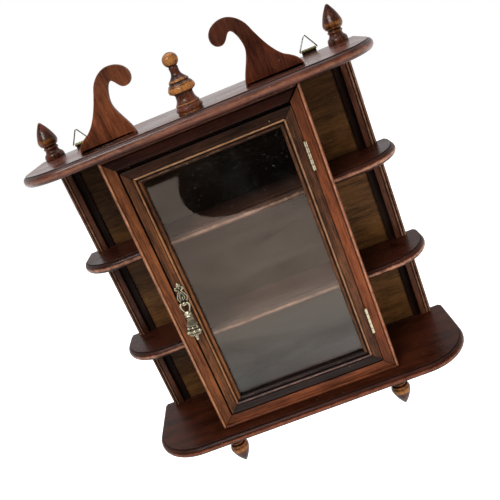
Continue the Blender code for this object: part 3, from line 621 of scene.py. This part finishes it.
def bead(start, end, crest, root, wear, steps=12):
    """A half-round bead across a section, worn on its crest, with painted shade in its quirks."""
    points = []
    for i in range(steps + 1):
        angle = pi * i / steps
        across = (start + end) / 2 - (end - start) / 2 * cos(angle)
        rise = sin(angle)
        points.append((across, root + (crest - root) * rise, wear * rise ** 2, (1 - rise) ** 3))
    return points


# Sections, mm: distance in from the outer edge, depth behind the front, wear, grime. Quirks,
# rebates and the edges along the door's gap are painted near black as shade.
FACE_SECTION = bead(0.05, 4, 0, 1.8, 0.77) + [
    (4.15, 1.5, 0, 1), (4.35, 0.6, 0.1, 0.7), (4.8, 0.4, 0.25, 0), (6.5, 0.4, 0.05, 0),
    (13, 0.4, 0.05, 0), (14.3, 0.4, 0.25, 0), (14.8, 0.55, 0.3, 0.2), (15, 0.95, 0, 0.9),
    (15, 3, 0, 0.9), (15, 14, 0, 0.9), (0, 14, 0, 0.3), (0, 3, 0, 0)]
DOOR_SECTION = [
    (0, 2, 0, 1), (0, 0.7, 0, 1), (0.18, 0.2, 0.1, 0.8), (0.7, 0, 0.35, 0.1),
    (1.6, 0, 0.05, 0), (7.8, 0, 0.05, 0), (8.8, 0, 0.3, 0), (9.2, 0.15, 0.35, 0.1),
    (9.35, 0.9, 0, 1)]
DOOR_SECTION += bead(9.5, 12.8, 0, 1.3, 0.85) + [(13, 2, 0, 1), (13, 2.9, 0, 1)]
DOOR_SECTION += bead(13.15, 17.3, 2, 3.6, 0.52) + [
    (17.3, 7, 0, 0.6), (12.3, 7, 0, 0.8), (12.3, 12.5, 0, 0.2), (0, 12.5, 0.1, 0.1)]
MITRE = GAP / sqrt(2)
OPEN_MITRE = 0.0017


def member_grime_and_shade(fraction, stile_top_shade):
    """Darkening of a member's flats: grime near both ends, and painted shade on stiles towards the
    top.
    """
    start, corner, corner_grime = 0.55, 0.12, 0.38
    top = max(0, (fraction - start) / (1 - start)) ** 1.5 * stile_top_shade
    return max(top, corner_grime * max(0, 1 - min(fraction, 1 - fraction) / corner))


def member_rings(section, place, opening, stile_top_shade, extra=0, steps=40):
    """Rings along a mitred member, close together and grimy at its ends."""
    left, right, bottom, top = opening
    rings = []
    stations = [0, 0.0006, 0.002]
    for i in range(steps + 1):
        fraction = i / steps
        ring = []
        for across, depth, wear, grime_and_shade in section:
            u, y = across / 1000, depth / 1000
            if place in ("left", "right"):
                x = left + u if place == "left" else right - u
                near, far = bottom + u + MITRE, top - u - MITRE - extra
            else:
                z = bottom + u if place == "bottom" else top - u
                near, far = left + u + MITRE, right - u - MITRE - extra
            if i < len(stations):
                along = near + stations[i]
            elif i > steps - len(stations):
                along = far - stations[steps - i]
            else:
                along = near + (far - near) * fraction
            end_grime = 0.9 if i in (0, steps) else 0
            point = (x, y, along) if place in ("left", "right") else (along, y, z)
            shading = member_grime_and_shade(fraction, stile_top_shade) * (1 - wear)
            ring.append((*point, wear, max(grime_and_shade, end_grime, shading)))
        rings.append(ring)
    return rings


def add_face_frame():
    outer = (-CASE_HALF, CASE_HALF, GAP, CASE_HEIGHT - GAP)
    # The fifth value paints shade onto a stile towards its top.
    rows = (("left", "face_stile_left", "stile", "mahogany", 0.5, 0),
            ("right", "face_stile_right", "stile_red", "mahogany", 0.72, 0),
            ("bottom", "face_rail_bottom", "rail", "mahogany", 0, 0),
            ("top", "face_rail_top", "rail_shaded", "dark_mahogany", 0, OPEN_MITRE))
    for place, node, finish, slot, stile_top_shade, extra in rows:
        rings = member_rings(FACE_SECTION, place, outer, stile_top_shade, extra)
        add_lofted(rings, node, "beaded", finish, slot)


def add_door():
    outer = (extent("door_stile_left")[0].x, extent("door_stile_right")[1].x,
             extent("door_rail_bottom")[0].z, extent("door_rail_top")[1].z)
    # The last value paints shade onto a stile towards its top.
    rows = (("left", "stile", 0.85), ("right", "stile", 0.62), ("bottom", "rail", 0),
            ("top", "rail", 0))
    for place, kind, stile_top_shade in rows:
        add_lofted(member_rings(DOOR_SECTION, place, outer, stile_top_shade), f"door_{kind}_{place}",
                   "moulded", f"door_{place}", "dark_mahogany", "door")


# ---- hinges

HINGE_X, HINGE_Y = (sum(extent("hinge_upper_pin"), Vector()) / 2)[:2]
KNUCKLES = 5
KNUCKLE_RADIUS = 0.0018
LEAF_THICKNESS, LEAF_CLEARANCE, LEAF_DEPTH = 0.0008, 0.0004, 0.009
SCREW_HEIGHTS, SCREW_RADIUS = (-0.0115, 0, 0.0115), 0.0019


def add_knuckle(shape, low, high):
    ease, bore = 0.00022, 0.0009
    stations = [(bore, low, 0, 1), (KNUCKLE_RADIUS - ease, low, 0.2, 0.5),
                (KNUCKLE_RADIUS, low + ease, 1, 0), (KNUCKLE_RADIUS, (low + high) / 2, 1, 0),
                (KNUCKLE_RADIUS, high - ease, 1, 0), (KNUCKLE_RADIUS - ease, high, 0.2, 0.5),
                (bore, high, 0, 1)]
    lathe(shape, stations, (HINGE_X, HINGE_Y, 0), count=36)


def add_screw(shape, centre, side):
    """Countersunk slotted head, its face just under the leaf's, seen along x."""
    x, y, z = centre
    stations = ((1, -0.0002, 0, 1), (1, 0.00012, 0.2, 0.9), (0.9, 0.000024, 0.9, 0),
                (0.5, 0, 0.8, 0))
    shape.loft([[(x - side * depth, y + a, z + b, wear, grime_and_shade)
                 for a, b in circle(SCREW_RADIUS * reach, 36)]
                for reach, depth, wear, grime_and_shade in stations])
    half_width, half_length = 0.0002, 0.0016
    corners = [(y + a * half_width, z + b * half_length)
               for a, b in ((-1, -1), (1, -1), (1, 1), (-1, 1))]
    shape.loft([[(x + side * depth, *corner, 0, 1) for corner in corners]
                for depth in (0.00004, -0.00006)])


def add_hinges():
    for level in ("upper", "lower"):
        low, high = (corner.z for corner in extent(f"hinge_{level}_frame_leaf"))
        pitch = (high - low) / KNUCKLES
        for owner, side, body, parity in (("frame", 1, "cabinet", 0), ("door", -1, "door", 1)):
            shape = Shape()
            near = HINGE_X + side * LEAF_CLEARANCE
            far = near + side * LEAF_THICKNESS
            ease, corner = 0.00015, 0.0006
            plan = [(HINGE_Y, low + ease), (HINGE_Y, high - ease), (HINGE_Y + ease, high),
                    (LEAF_DEPTH - corner, high), (LEAF_DEPTH, high - corner),
                    (LEAF_DEPTH, low + corner), (LEAF_DEPTH - corner, low), (HINGE_Y + ease, low)]
            shape.loft([[(x, y, z, wear, 0) for y, z in plan]
                        for x, wear in ((near, 0.55), (far, 0.2))])
            for index in range(KNUCKLES):
                if index % 2 == parity:
                    start = low + index * pitch + (0 if index == 0 else GAP / 2)
                    end = low + (index + 1) * pitch - (0 if index == KNUCKLES - 1 else GAP / 2)
                    add_knuckle(shape, start, end)
            for height in SCREW_HEIGHTS:
                add_screw(shape, (near, 0.0048, (low + high) / 2 + height), -side)
            as_object(shape, f"hinge_{level}_{owner}_leaf", "screwed", "brass", "brass", body)
        pin = Shape()
        cap = [(0.0002, -0.0008, 0.5, 0), (0.0009, -0.00072, 0.8, 0), (0.0013, -0.0005, 0.9, 0),
               (0.0015, -GAP, 0.3, 0.5), (0.0007, -GAP, 0, 1)]
        profile = [(radius, low + height, *looks) for radius, height, *looks in cap]
        profile += [(radius, high - height, *looks) for radius, height, *looks in reversed(cap)]
        lathe(pin, profile, (HINGE_X, HINGE_Y, 0), count=32)
        as_object(pin, f"hinge_{level}_pin", "capped", "brass", "brass")


# ---- turned pieces and scrolls

# Turned profiles, mm: radius, height, bulge towards the next station, steps.
CENTRE_RUNS = [
    (13.2, 0.02, 0, 2), (13.5, 1.7, 0, 2), (12.6, 2, 1.6, 12), (12.2, 7.8, 0, 2),
    (12.1, 8.3, 0.7, 6), (11.6, 10.4, -0.7, 10), (9.4, 17, -0.3, 6), (9.6, 19.8, 0, 2),
    (13.4, 22, 1, 12), (12.8, 27.6, 0.4, 5), (10.8, 30.2, 0, 2), (10.1, 30.7, 0.6, 6),
    (9.6, 33.4, -1.5, 12), (4.6, 42, -0.1, 5), (4.9, 45, 0, 2)]
SIDE_RUNS = [
    (11.5, 0.02, 0.5, 8), (10.6, 6, -0.8, 8), (7.6, 10.2, 0, 2), (7.9, 11.3, 0.9, 8),
    (7.6, 14.2, 0, 2), (7.5, 15, 0, 2), (9.6, 16.2, 1, 12), (10.9, 24, 1.1, 16)]
BALL_CENTRE, BALL_RADII = 52.6, (8.1, 7.4)


def turned_profile(runs, last):
    stations = runs + [(*last, 0, 1)]
    points = []
    for here, after in zip(stations, stations[1:]):
        for i in range(here[3]):
            t = i / here[3]
            radius = here[0] + (after[0] - here[0]) * t + here[2] * sin(pi * t)
            points.append((radius, here[1] + (after[1] - here[1]) * t))
    return [(0.3, points[0][1])] + points + [(last[0], last[1] - 0.1), (0.2, last[1])]


def rubbed_profile(points, reach=2.2, floor=0):
    """Add wear where a profile stands proud of its surroundings, and darkening where it is hollow.
    """
    stations = []
    for radius, height in points:
        near = [other for other, level in points if abs(level - height) < reach]
        proud = radius - (max(near) + min(near)) / 2
        wear = min(1, max(0, floor + proud * 0.85))
        grime_and_shade = min(0.8, max(0, -proud * 0.8 - 0.25))
        stations.append((radius / 1000, height / 1000, wear, grime_and_shade))
    return stations


def centre_profile():
    wide, high = BALL_RADII
    runs = list(CENTRE_RUNS)
    for degrees in range(-58, 90, 8):
        angle = radians(degrees)
        runs.append((wide * cos(angle), BALL_CENTRE + high * sin(angle), 0, 1))
    return turned_profile(runs, (0.8, BALL_CENTRE + high))


def band_rubbed(stations, foot, foot_share, share, bands):
    """Reduce wear by its share, more below a height, and rub bands of (worn, height, spread)."""
    rubbed = []
    for radius, height, wear, grime_and_shade in stations:
        wear *= foot_share if height < foot else share
        bright = [worn * exp(-((height - level) / spread) ** 2) for worn, level, spread in bands]
        rubbed.append((radius, height, max(wear, *bright), grime_and_shade))
    return rubbed


def add_finials():
    centre = rubbed_profile(centre_profile(), floor=0.06)
    bands = [(0.74, 0.0525, 0.006), (0.95, 0.0248, 0.003)]
    centre = band_rubbed(centre, 0.0085, 0.4, 1, bands)
    flame = rubbed_profile(turned_profile(SIDE_RUNS, (1.2, 42.8)), floor=0.12)
    flame = band_rubbed(flame, 0.009, 0.3, 0.8, [(0.5, 0.0215, 0.0045)])
    drop = [(radius, height, min(1, wear * 1.35), grime_and_shade) for radius, height, wear, grime_and_shade in flame]
    rows = [("centre_finial", centre, 1)]
    rows += [(f"side_finial_{label}", flame, 1) for label, _ in SIDES]
    rows += [(f"drop_finial_{label}", drop, -1) for label, _ in SIDES]
    for node, profile, direction in rows:
        middle = sum(extent(node), Vector()) / 2
        foot = CREST + GAP if direction > 0 else -BOARD_THICKNESS - GAP
        shape = Shape()
        lathe(shape, profile, (middle.x, middle.y, foot), direction, front_rub_and_highlight=0.5)
        as_object(shape, node, "turned", "turned", "honey_wood", sharp=50)


# Scroll outline, mm from the centre line and above the top board: knot, handle leaving it,
# handle reaching the next knot.
SCROLL_KNOTS = [
    ((59.5, 0), (60.5, 12), (71.5, 26)), ((71.8, 36), (71.8, 43), (67.5, 55.8)),
    ((63.2, 55.8), (59.6, 55.8), (57.5, 46.1)), ((50.8, 46.1), (45.8, 46.1), (42, 50.2)),
    ((42, 55.5), (42, 63.5), (50.5, 69.8)), ((60.5, 69.8), (69, 69.8), (78.5, 63)),
    ((82.6, 53.3), (87.5, 42), (96, 24)), ((107, 16.5), (115, 12.5), (121, 8))]
SCROLL_END = (121.8, 0)
SCROLL_FOOT = 0.0012


def inset_loop(points, distance):
    """A closed plane outline moved inwards along its vertex normals."""
    points = [Vector(point) for point in points]
    area = sum(a.x * b.y - b.x * a.y for a, b in zip(points, points[1:] + points[:1]))
    turn = 1 if area > 0 else -1
    moved = []
    for i, here in enumerate(points):
        first = (here - points[i - 1]).normalized()
        along = (first + (points[(i + 1) % len(points)] - here).normalized()).normalized()
        reach = turn * distance * min(1.6, 1 / max(0.3, first.dot(along)))
        moved.append((here.x - along.y * reach, here.y + along.x * reach))
    return moved


def add_scrolls():
    outline = []
    ends = [row[0] for row in SCROLL_KNOTS[1:]] + [SCROLL_END]
    for (knot, leaving, reaching), end in zip(SCROLL_KNOTS, ends):
        outline += bezier(knot, leaving, reaching, end, 18)
    outline = [(x / 1000, z / 1000) for x, z in outline + [SCROLL_END]]
    arris = 0.0009
    for label, side in SIDES:
        node = f"scroll_{label}"
        front, back = (corner.y for corner in extent(node))
        levels = [(0.003, front, 0), (0.0016, front, 0.15)]
        levels += [(arris - b, front + arris - a, 0.6) for a, b in arc((0, 0), arris, 0, 90, 4)]
        mirrored = [(inset, back + front - y, wear) for inset, y, wear in reversed(levels)]
        rings = []
        for inset, y, wear in levels + [(0, (front + back) / 2, 0.1)] + mirrored:
            ring = []
            for x, z in inset_loop(outline, inset):
                # Painted shade: darker at the foot, where the scroll meets the board, and towards
                # its top.
                foot = max(0, 1 - z / SCROLL_FOOT)
                shading = 0.36 * min(1, max(0, (z - 0.02) / 0.035))
                height = CREST + GAP + max(z, 0)
                ring.append((side * x, y, height, wear * (1 - foot), max(foot, shading)))
            rings.append(ring)
        add_lofted(rings, node, "sawn", node, "mahogany")


# ---- drop pull
# Pull frame, mm: origin on the swing axis, x to the right, y back to the door, z up the pull.

PULL_CENTRE = Vector((-0.0883, -0.0043, 0.1712))
PULL_TILT = radians(4)
PLATE_BACK = 4
PLATE_HALF = [
    (0, -3.4), (3, -2.2), (4.2, 1.5), (6, 7), (4, 12), (2.4, 15.2), (5.4, 16.4), (5.2, 19),
    (2.6, 20), (1.9, 23.4), (0, 24.7)]
TEARDROP = [(0, 13.6), (1.5, 10.6), (2.7, 7.2), (1.9, 4.7), (0, 3.9)]
# Raised sprigs on the plate: path, how far proud of its back, radius.
PLATE_SPRIGS = [
    ([(0.8, 15.6), (2.4, 15.9), (4.4, 16.1)], 1.4, 0.45),
    ([(0.9, 14.2), (2.9, 12.2), (4.2, 9)], 1.35, 0.35)]
ARM_PATH = [(2.3, 0), (3.2, 0.4), (4.3, 0.3), (5.1, -1), (5, -3.2), (4.3, -5.7), (3.4, -7.8),
            (2.2, -9.9)]
ARM_RADII = [0.7, 0.95, 1.1, 1.05, 1, 0.95, 0.9, 0.8]
# Bell stations: half width, half depth, height, wear, grime, how deep the flutes are.
BELL = [
    (2.2, 1.5, -13.6, 0.2, 0.8, 0), (3.6, 2.1, -14.3, 0.7, 0.2, 0), (4.7, 2.6, -15.1, 1, 0, 0),
    (4.9, 2.7, -15.9, 0.8, 0.1, 0), (4.4, 2.5, -16.6, 0.1, 0.9, 0.02),
    (3.8, 2.4, -17.6, 0.6, 0.2, 0.07), (3.8, 2.4, -20, 0.7, 0.1, 0.12),
    (4.3, 2.7, -22.6, 0.8, 0, 0.13), (5.3, 3, -25, 0.9, 0, 0.12), (6.5, 3.4, -26.6, 1, 0, 0.08),
    (6.2, 3.3, -27.3, 0.4, 0.4, 0.03), (5.7, 3.1, -27.9, 0, 1, 0), (6.2, 3.2, -29.4, 0.1, 0.9, 0),
    (6.6, 3.3, -31.2, 0, 1, 0), (7.2, 3.5, -32, 0.3, 0.6, 0), (7.8, 3.5, -34.1, 0.1, 0.9, 0),
    (7.2, 3.4, -36.2, 0, 1, 0), (6.6, 3.3, -37.2, 0.6, 0.3, 0.08), (6.4, 3.3, -38.4, 1, 0, 0.13),
    (6, 3.2, -39.4, 0.8, 0, 0.15), (4.4, 2.5, -40, 0.1, 0.9, 0.05),
    (2.5, 1.8, -40.5, 0.2, 0.8, 0), (2.4, 1.8, -41.4, 0.9, 0, 0), (1.8, 1.5, -43, 0.5, 0.2, 0),
    (1.5, 1.4, -45.2, 0.7, 0, 0), (1.7, 1.5, -46.3, 1, 0, 0), (1.3, 1.2, -47.1, 0.9, 0, 0),
    (0.4, 0.4, -47.4, 0.8, 0, 0)]
BELL_BACK = 3.4
FLUTES = 18


def to_pull(shape):
    """Scale millimetres to metres and place the pull frame on the door."""
    shape.move(Matrix.Translation(PULL_CENTRE) @ Matrix.Rotation(PULL_TILT, 4, "Y")
               @ Matrix.Scale(0.001, 4))


def both_halves(points):
    """A closed outline from its right half, which starts and ends on the middle line."""
    return points + [(-x, z) for x, z in reversed(points[1:-1])]


def plate_wire(shape, points, proud, radius, grime_and_shade, closed=False):
    """A raised wire on the backplate."""
    tube(shape, [(x, PLATE_BACK - proud, z) for x, z in points], radius, closed, grime_and_shade=grime_and_shade)


def plate_ball(shape, x, proud, z, radii, grime_and_shade):
    ball(shape, (x, PLATE_BACK - proud, z), radii, grime_and_shade=grime_and_shade)


def add_backplate():
    shape = Shape()
    outline = smooth_path(both_halves(PLATE_HALF), 8, closed=True)
    stations = ((0.5, 0, 0, 0.8), (0, 0, 0.2, 0.4), (0, 0.9, 0.6, 0.2), (0.4, 1.1, 0.3, 0.6),
                (1, 1.1, 0, 1))
    shape.loft([[(x, PLATE_BACK - proud, z, wear, grime_and_shade) for x, z in inset_loop(outline, inset)]
                for inset, proud, wear, grime_and_shade in stations])
    plate_wire(shape, inset_loop(outline, 0.55), 1.2, 0.55, 0.6, True)
    plate_wire(shape, smooth_path(both_halves(TEARDROP), 8, closed=True), 1.3, 0.5, 0.6, True)
    plate_ball(shape, 0, 1.3, 6.4, (0.9, 0.7, 1.4), 1)
    ball(shape, (0, 0, 0), (2.6, 2.6, 2.6), grime_and_shade=0.6, count=32, steps=20)
    tube(shape, [(0, 0.5, 0), (0, PLATE_BACK - 1, 0.01)], 1.5, wear=0.2, grime_and_shade=1)
    plate_ball(shape, 0, 1.8, 22.6, (1.75, 1.5, 1.75), 0.8)
    plate_ball(shape, 0, 1.4, 20.5, (1.9, 1, 0.7), 0.8)
    for side in (-1, 1):
        plate_ball(shape, side * 3.9, 1.7, 17.6, (1.45, 1.3, 1.45), 0.9)
        for points, proud, radius in PLATE_SPRIGS:
            path = smooth_path([(side * x, z) for x, z in points], 6)
            plate_wire(shape, path, proud, radius, 0.7)
        plate_ball(shape, side * 3.3, 1.3, 3.2, (0.8, 0.8, 1.1), 0.9)
    to_pull(shape)
    as_object(shape, "pull_backplate", "cast", "antique", "antique_brass", "door", 50)
    nail = Shape()
    ball(nail, (0, PLATE_BACK - 1.75, 18.6), (1.35, 0.9, 1.35), 0.6, 0.3, lobes=8, depth=0.02)
    to_pull(nail)
    as_object(nail, "pull_nail", "domed", "antique", "steel", "door", 50)


def bell_rings(count=108):
    rings = []
    for half_width, half_depth, height, wear, grime_and_shade, flute in BELL:
        ring = []
        for i in range(count):
            angle = 2 * pi * i / count
            wave = cos(FLUTES * angle)
            reach = 1 - flute * 0.5 * (1 - wave)
            front = -sin(angle)
            hollow = flute * 6 * (1 - wave) / 2
            ring.append((half_width * reach * cos(angle),
                         BELL_BACK - half_depth * (1 + reach * front), height,
                         max(0, wear * (1 - hollow)), min(1, grime_and_shade + hollow * 0.9)))
        rings.append(ring)
    return rings


def front_of_bell(x, half_width, half_depth):
    return BELL_BACK - half_depth * (1 + sqrt(max(0, 1 - (x / half_width) ** 2)))


def add_drop():
    shape = Shape()
    for side in (-1, 1):
        path = smooth_path([(side * x, 0, z) for x, z in ARM_PATH], 6)
        radii = []
        for thin, thick in zip(ARM_RADII, ARM_RADII[1:]):
            radii += [thin + (thick - thin) * i / 6 for i in range(6)]
        tube(shape, path, radii + [ARM_RADII[-1]], count=16, grime_and_shade=0.5)
        ball(shape, (side * 4.4, -0.3, -1.5), (1.05, 0.9, 1.05), grime_and_shade=0.9)
        ball(shape, (side * 3.4, -0.3, -8.6), (1, 1, 0.9), grime_and_shade=0.9)
    ball(shape, (0, -0.4, -11.9), (4.45, 2.4, 3.1), 1, 1, 72, 18, 14, 0.03)
    ball(shape, (0, -1.9, -11.9), (2.2, 1.2, 1.4), grime_and_shade=0.9)
    shape.loft(bell_rings())
    for x in (-4.9, 0, 4.9):
        ball(shape, (x, front_of_bell(x, 6.6, 3.25) + 0.2, -29.4), (1.65, 1.3, 1.6), grime_and_shade=1)
    for x in (-2.45, 2.45):
        ball(shape, (x, front_of_bell(x, 6.6, 3.25) + 0.3, -29.4), (0.6, 0.6, 1.1), grime_and_shade=1)
    for x in (-6, 0, 6):
        y = front_of_bell(x, 8.4, 3.6) + 0.1
        ball(shape, (x, y, -34.1), (2.6, 1, 1.9), grime_and_shade=1, count=48, lobes=6, depth=0.12)
        ball(shape, (x, y - 0.6, -34.1), (0.9, 0.8, 0.8), grime_and_shade=0.9)
    for x in (-3, 3):
        ball(shape, (x, front_of_bell(x, 7.8, 3.5) + 0.1, -34.1), (0.5, 0.5, 1.7), grime_and_shade=1)
    to_pull(shape)
    as_object(shape, "pull_drop", "cast", "antique", "antique_brass", "pull_drop", 50)


# ---- hangers

WIRE_RADIUS = 0.00085
RING_HALF_WIDTH, RING_HEIGHT, RING_CORNER = 0.011, 0.0176, 0.0021
STRAP_THICKNESS = 0.0007
NAIL_HEAD = [
    (0.0002, 0.0006, 1, 0), (0.0008, 0.00055, 1, 0), (0.0013, 0.00035, 0.8, 0),
    (0.0016, 0, 0.2, 0.6), (0.0006, 0, 0, 1), (0.0006, -0.006, 0, 0.6)]


def triangle_path():
    """The wire's rounded triangle, its lower side's middle at the origin."""
    ends = (-RING_HALF_WIDTH, 0), (RING_HALF_WIDTH, 0), (0, RING_HEIGHT)
    corners = [Vector(end) for end in ends]
    path = []
    for i, corner in enumerate(corners):
        before, after = corners[i - 1], corners[(i + 1) % 3]
        entry = corner + (before - corner).normalized() * RING_CORNER
        leave = corner + (after - corner).normalized() * RING_CORNER
        following = after + (corner - after).normalized() * RING_CORNER
        path += bezier(entry, entry.lerp(corner, 0.6), leave.lerp(corner, 0.6), leave, 10)
        path += [tuple(leave.lerp(following, step / 6)) for step in range(6)]
    return path


def add_hangers():
    inner = WIRE_RADIUS + GAP
    outer = inner + STRAP_THICKNESS
    ease = 0.0004
    for label, _ in SIDES:
        strap, wire = f"hanger_strap_{label}", f"hanger_ring_{label}"
        low, high = extent(strap)
        axis = Vector(((low.x + high.x) / 2, high.y - outer, extent(wire)[0].z + WIRE_RADIUS))
        foot = low.z - axis.z
        section = [(inner, foot, 0.2, 0.2), (outer, foot, 0.3, 0), (outer, foot / 2, 0.3, 0.1)]
        section += [(y, z, 0.8, 0) for y, z in arc((0, 0), outer, 0, 300, 30)]
        section += [(y, z, 0, 0.9) for y, z in arc((0, 0), inner, 300, 0, 30)]
        add_lofted([[(x, axis.y + y, axis.z + z, wear, grime_and_shade) for y, z, wear, grime_and_shade in section]
                    for x in (low.x, low.x + ease, axis.x, high.x - ease, high.x)],
                   strap, "folded", "strap", "brass")
        ring = Shape()
        path = [(axis.x + x, axis.y, axis.z + z) for x, z in triangle_path()]
        tube(ring, path, WIRE_RADIUS, closed=True, count=20)
        as_object(ring, wire, "wire", "steel", "steel", wire, 60)
        for number in (1, 2):
            node = f"hanger_nail_{label}_{number}"
            low_nail, high_nail = extent(node)
            centre = (low_nail + high_nail) / 2
            base = high_nail.y - NAIL_HEAD[0][1]
            rings = [[(centre.x + a, base + height, centre.z + b, *looks)
                      for a, b in circle(radius, 24)] for radius, height, *looks in NAIL_HEAD]
            add_lofted(rings, node, "domed", "steel", "steel", sharp=50)


# ---- studio and camera

CAMERA_PLACE = (0.05361, -0.64019, 0.41919)
CAMERA_YAW, CAMERA_PITCH, CAMERA_ROLL = (radians(turn) for turn in (4.718, 18.805, -22.631))
CAMERA_LENS = 45.448
FLOOR_DROP = 0.62
FLOOR_FRONT = [(-0.78, -5.2), (-0.68, -4.2), (-0.46, -3.45), (-0.1, -3.17), (0.5, -3.1), (6, -3.1)]
WHITE = (1, 1, 1)


def add_camera():
    data = bpy.data.cameras.new("camera")
    data.lens = CAMERA_LENS
    data.sensor_width = 36
    data.clip_start = 0.01
    camera = new_object("camera", data)
    turn = (Matrix.Rotation(CAMERA_YAW, 4, "Z")
            @ Matrix.Rotation(pi / 2 - CAMERA_PITCH, 4, "X")
            @ Matrix.Rotation(CAMERA_ROLL, 4, "Z"))
    camera.location = Vector(CAMERA_PLACE) + ORIGIN
    camera.rotation_euler = turn.to_euler()
    bpy.context.scene.camera = camera


def add_floor():
    """White floor, brightest behind; its front outline shapes the reflection in the glass."""
    mesh = bpy.data.meshes.new("floor")
    height = ORIGIN.z - FLOOR_DROP
    outline = [(6, 5), (-6, 5), (-6, -5.2)] + smooth_path(FLOOR_FRONT, 12)
    mesh.from_pydata([(x, y, height) for x, y in outline], [], [tuple(range(len(outline)))])
    material, tree, shader = new_material("floor_white")
    place = position(tree)
    across = put(tree, "SeparateXYZ", {"Vector": place}).outputs["Y"]
    around = put(tree, "VectorMath", {0: place}, operation="LENGTH").outputs["Value"]
    behind = remap(tree, across, -0.6, 1.2, 0.42, 1)
    glow = maths(tree, "MAXIMUM", behind, remap(tree, around, 1, 2.6, 0.42, 0.64))
    is_camera = put(tree, "LightPath").outputs["Is Camera Ray"]
    seen = maths(tree, "MAXIMUM", is_camera, remap(tree, around, 1.1, 2))
    tint = blend(tree, speckle(tree, place, 3), (0.88, 0.88, 0.875), (0.9, 0.9, 0.895))
    fill(tree, shader, {"Base Color": tint, "Roughness": 0.9, "Emission Color": WHITE,
                        "Emission Strength": times(tree, glow, seen)})
    mesh.materials.append(material)
    floor = new_object("floor", mesh)


def add_light(name, place, target, size, energy, colour=WHITE, glossy=True):
    data = bpy.data.lights.new(name, "AREA")
    data.shape = "RECTANGLE"
    data.size, data.size_y = size
    data.energy = energy
    data.color = colour
    light = new_object(name, data)
    light.location = place
    light.rotation_euler = (Vector(target) - Vector(place)).to_track_quat("-Z", "Y").to_euler()
    light.visible_camera = False
    light.visible_glossy = glossy


def add_world():
    """White behind the object; a soft sky for light and reflections, darker low in front."""
    world = bpy.data.worlds.new("studio")
    bpy.context.scene.world = world
    world.use_nodes = True
    tree = world.node_tree
    direction = put(tree, "SeparateXYZ", {"Vector": put(tree, "TexCoord").outputs["Generated"]})
    height, forward = direction.outputs["Z"], direction.outputs["Y"]
    sky = remap(tree, height, 0.25, 0.8, 0.85, 0.38)
    front = remap(tree, forward, -0.55, 0.15, 1, 0)
    low = times(tree, remap(tree, height, 0.3, 0.75, 1, 0), front)
    sky = times(tree, sky, scaled(tree, low, -0.98, 1))
    is_camera = put(tree, "LightPath").outputs["Is Camera Ray"]
    strength = put(tree, "Mix", {0: is_camera, 2: sky, 3: 1}, data_type="FLOAT").outputs[0]
    fill(tree, tree.nodes["Background"], {"Color": WHITE, "Strength": strength})


def add_studio():
    scene = bpy.context.scene
    scene.view_settings.view_transform = "Standard"
    add_floor()
    add_world()
    add_light("key", (-0.55, -1.25, 1.25), (0, 0, 0), (0.8, 0.6), 21, (1, 0.985, 0.96))
    add_light("fill", (1.2, -1.1, 0), (0, 0, -0.05), (0.7, 0.7), 11, glossy=False)
    add_light("top", (0, 0.2, 1.6), (0, 0, 0), (1.4, 1), 12)


add_finishes()
add_boards()
add_posts()
add_case_back()
keep_nodes()
add_face_frame()
add_door()
add_hinges()
add_finials()
add_scrolls()
add_backplate()
add_drop()
add_hangers()
add_camera()
add_studio()
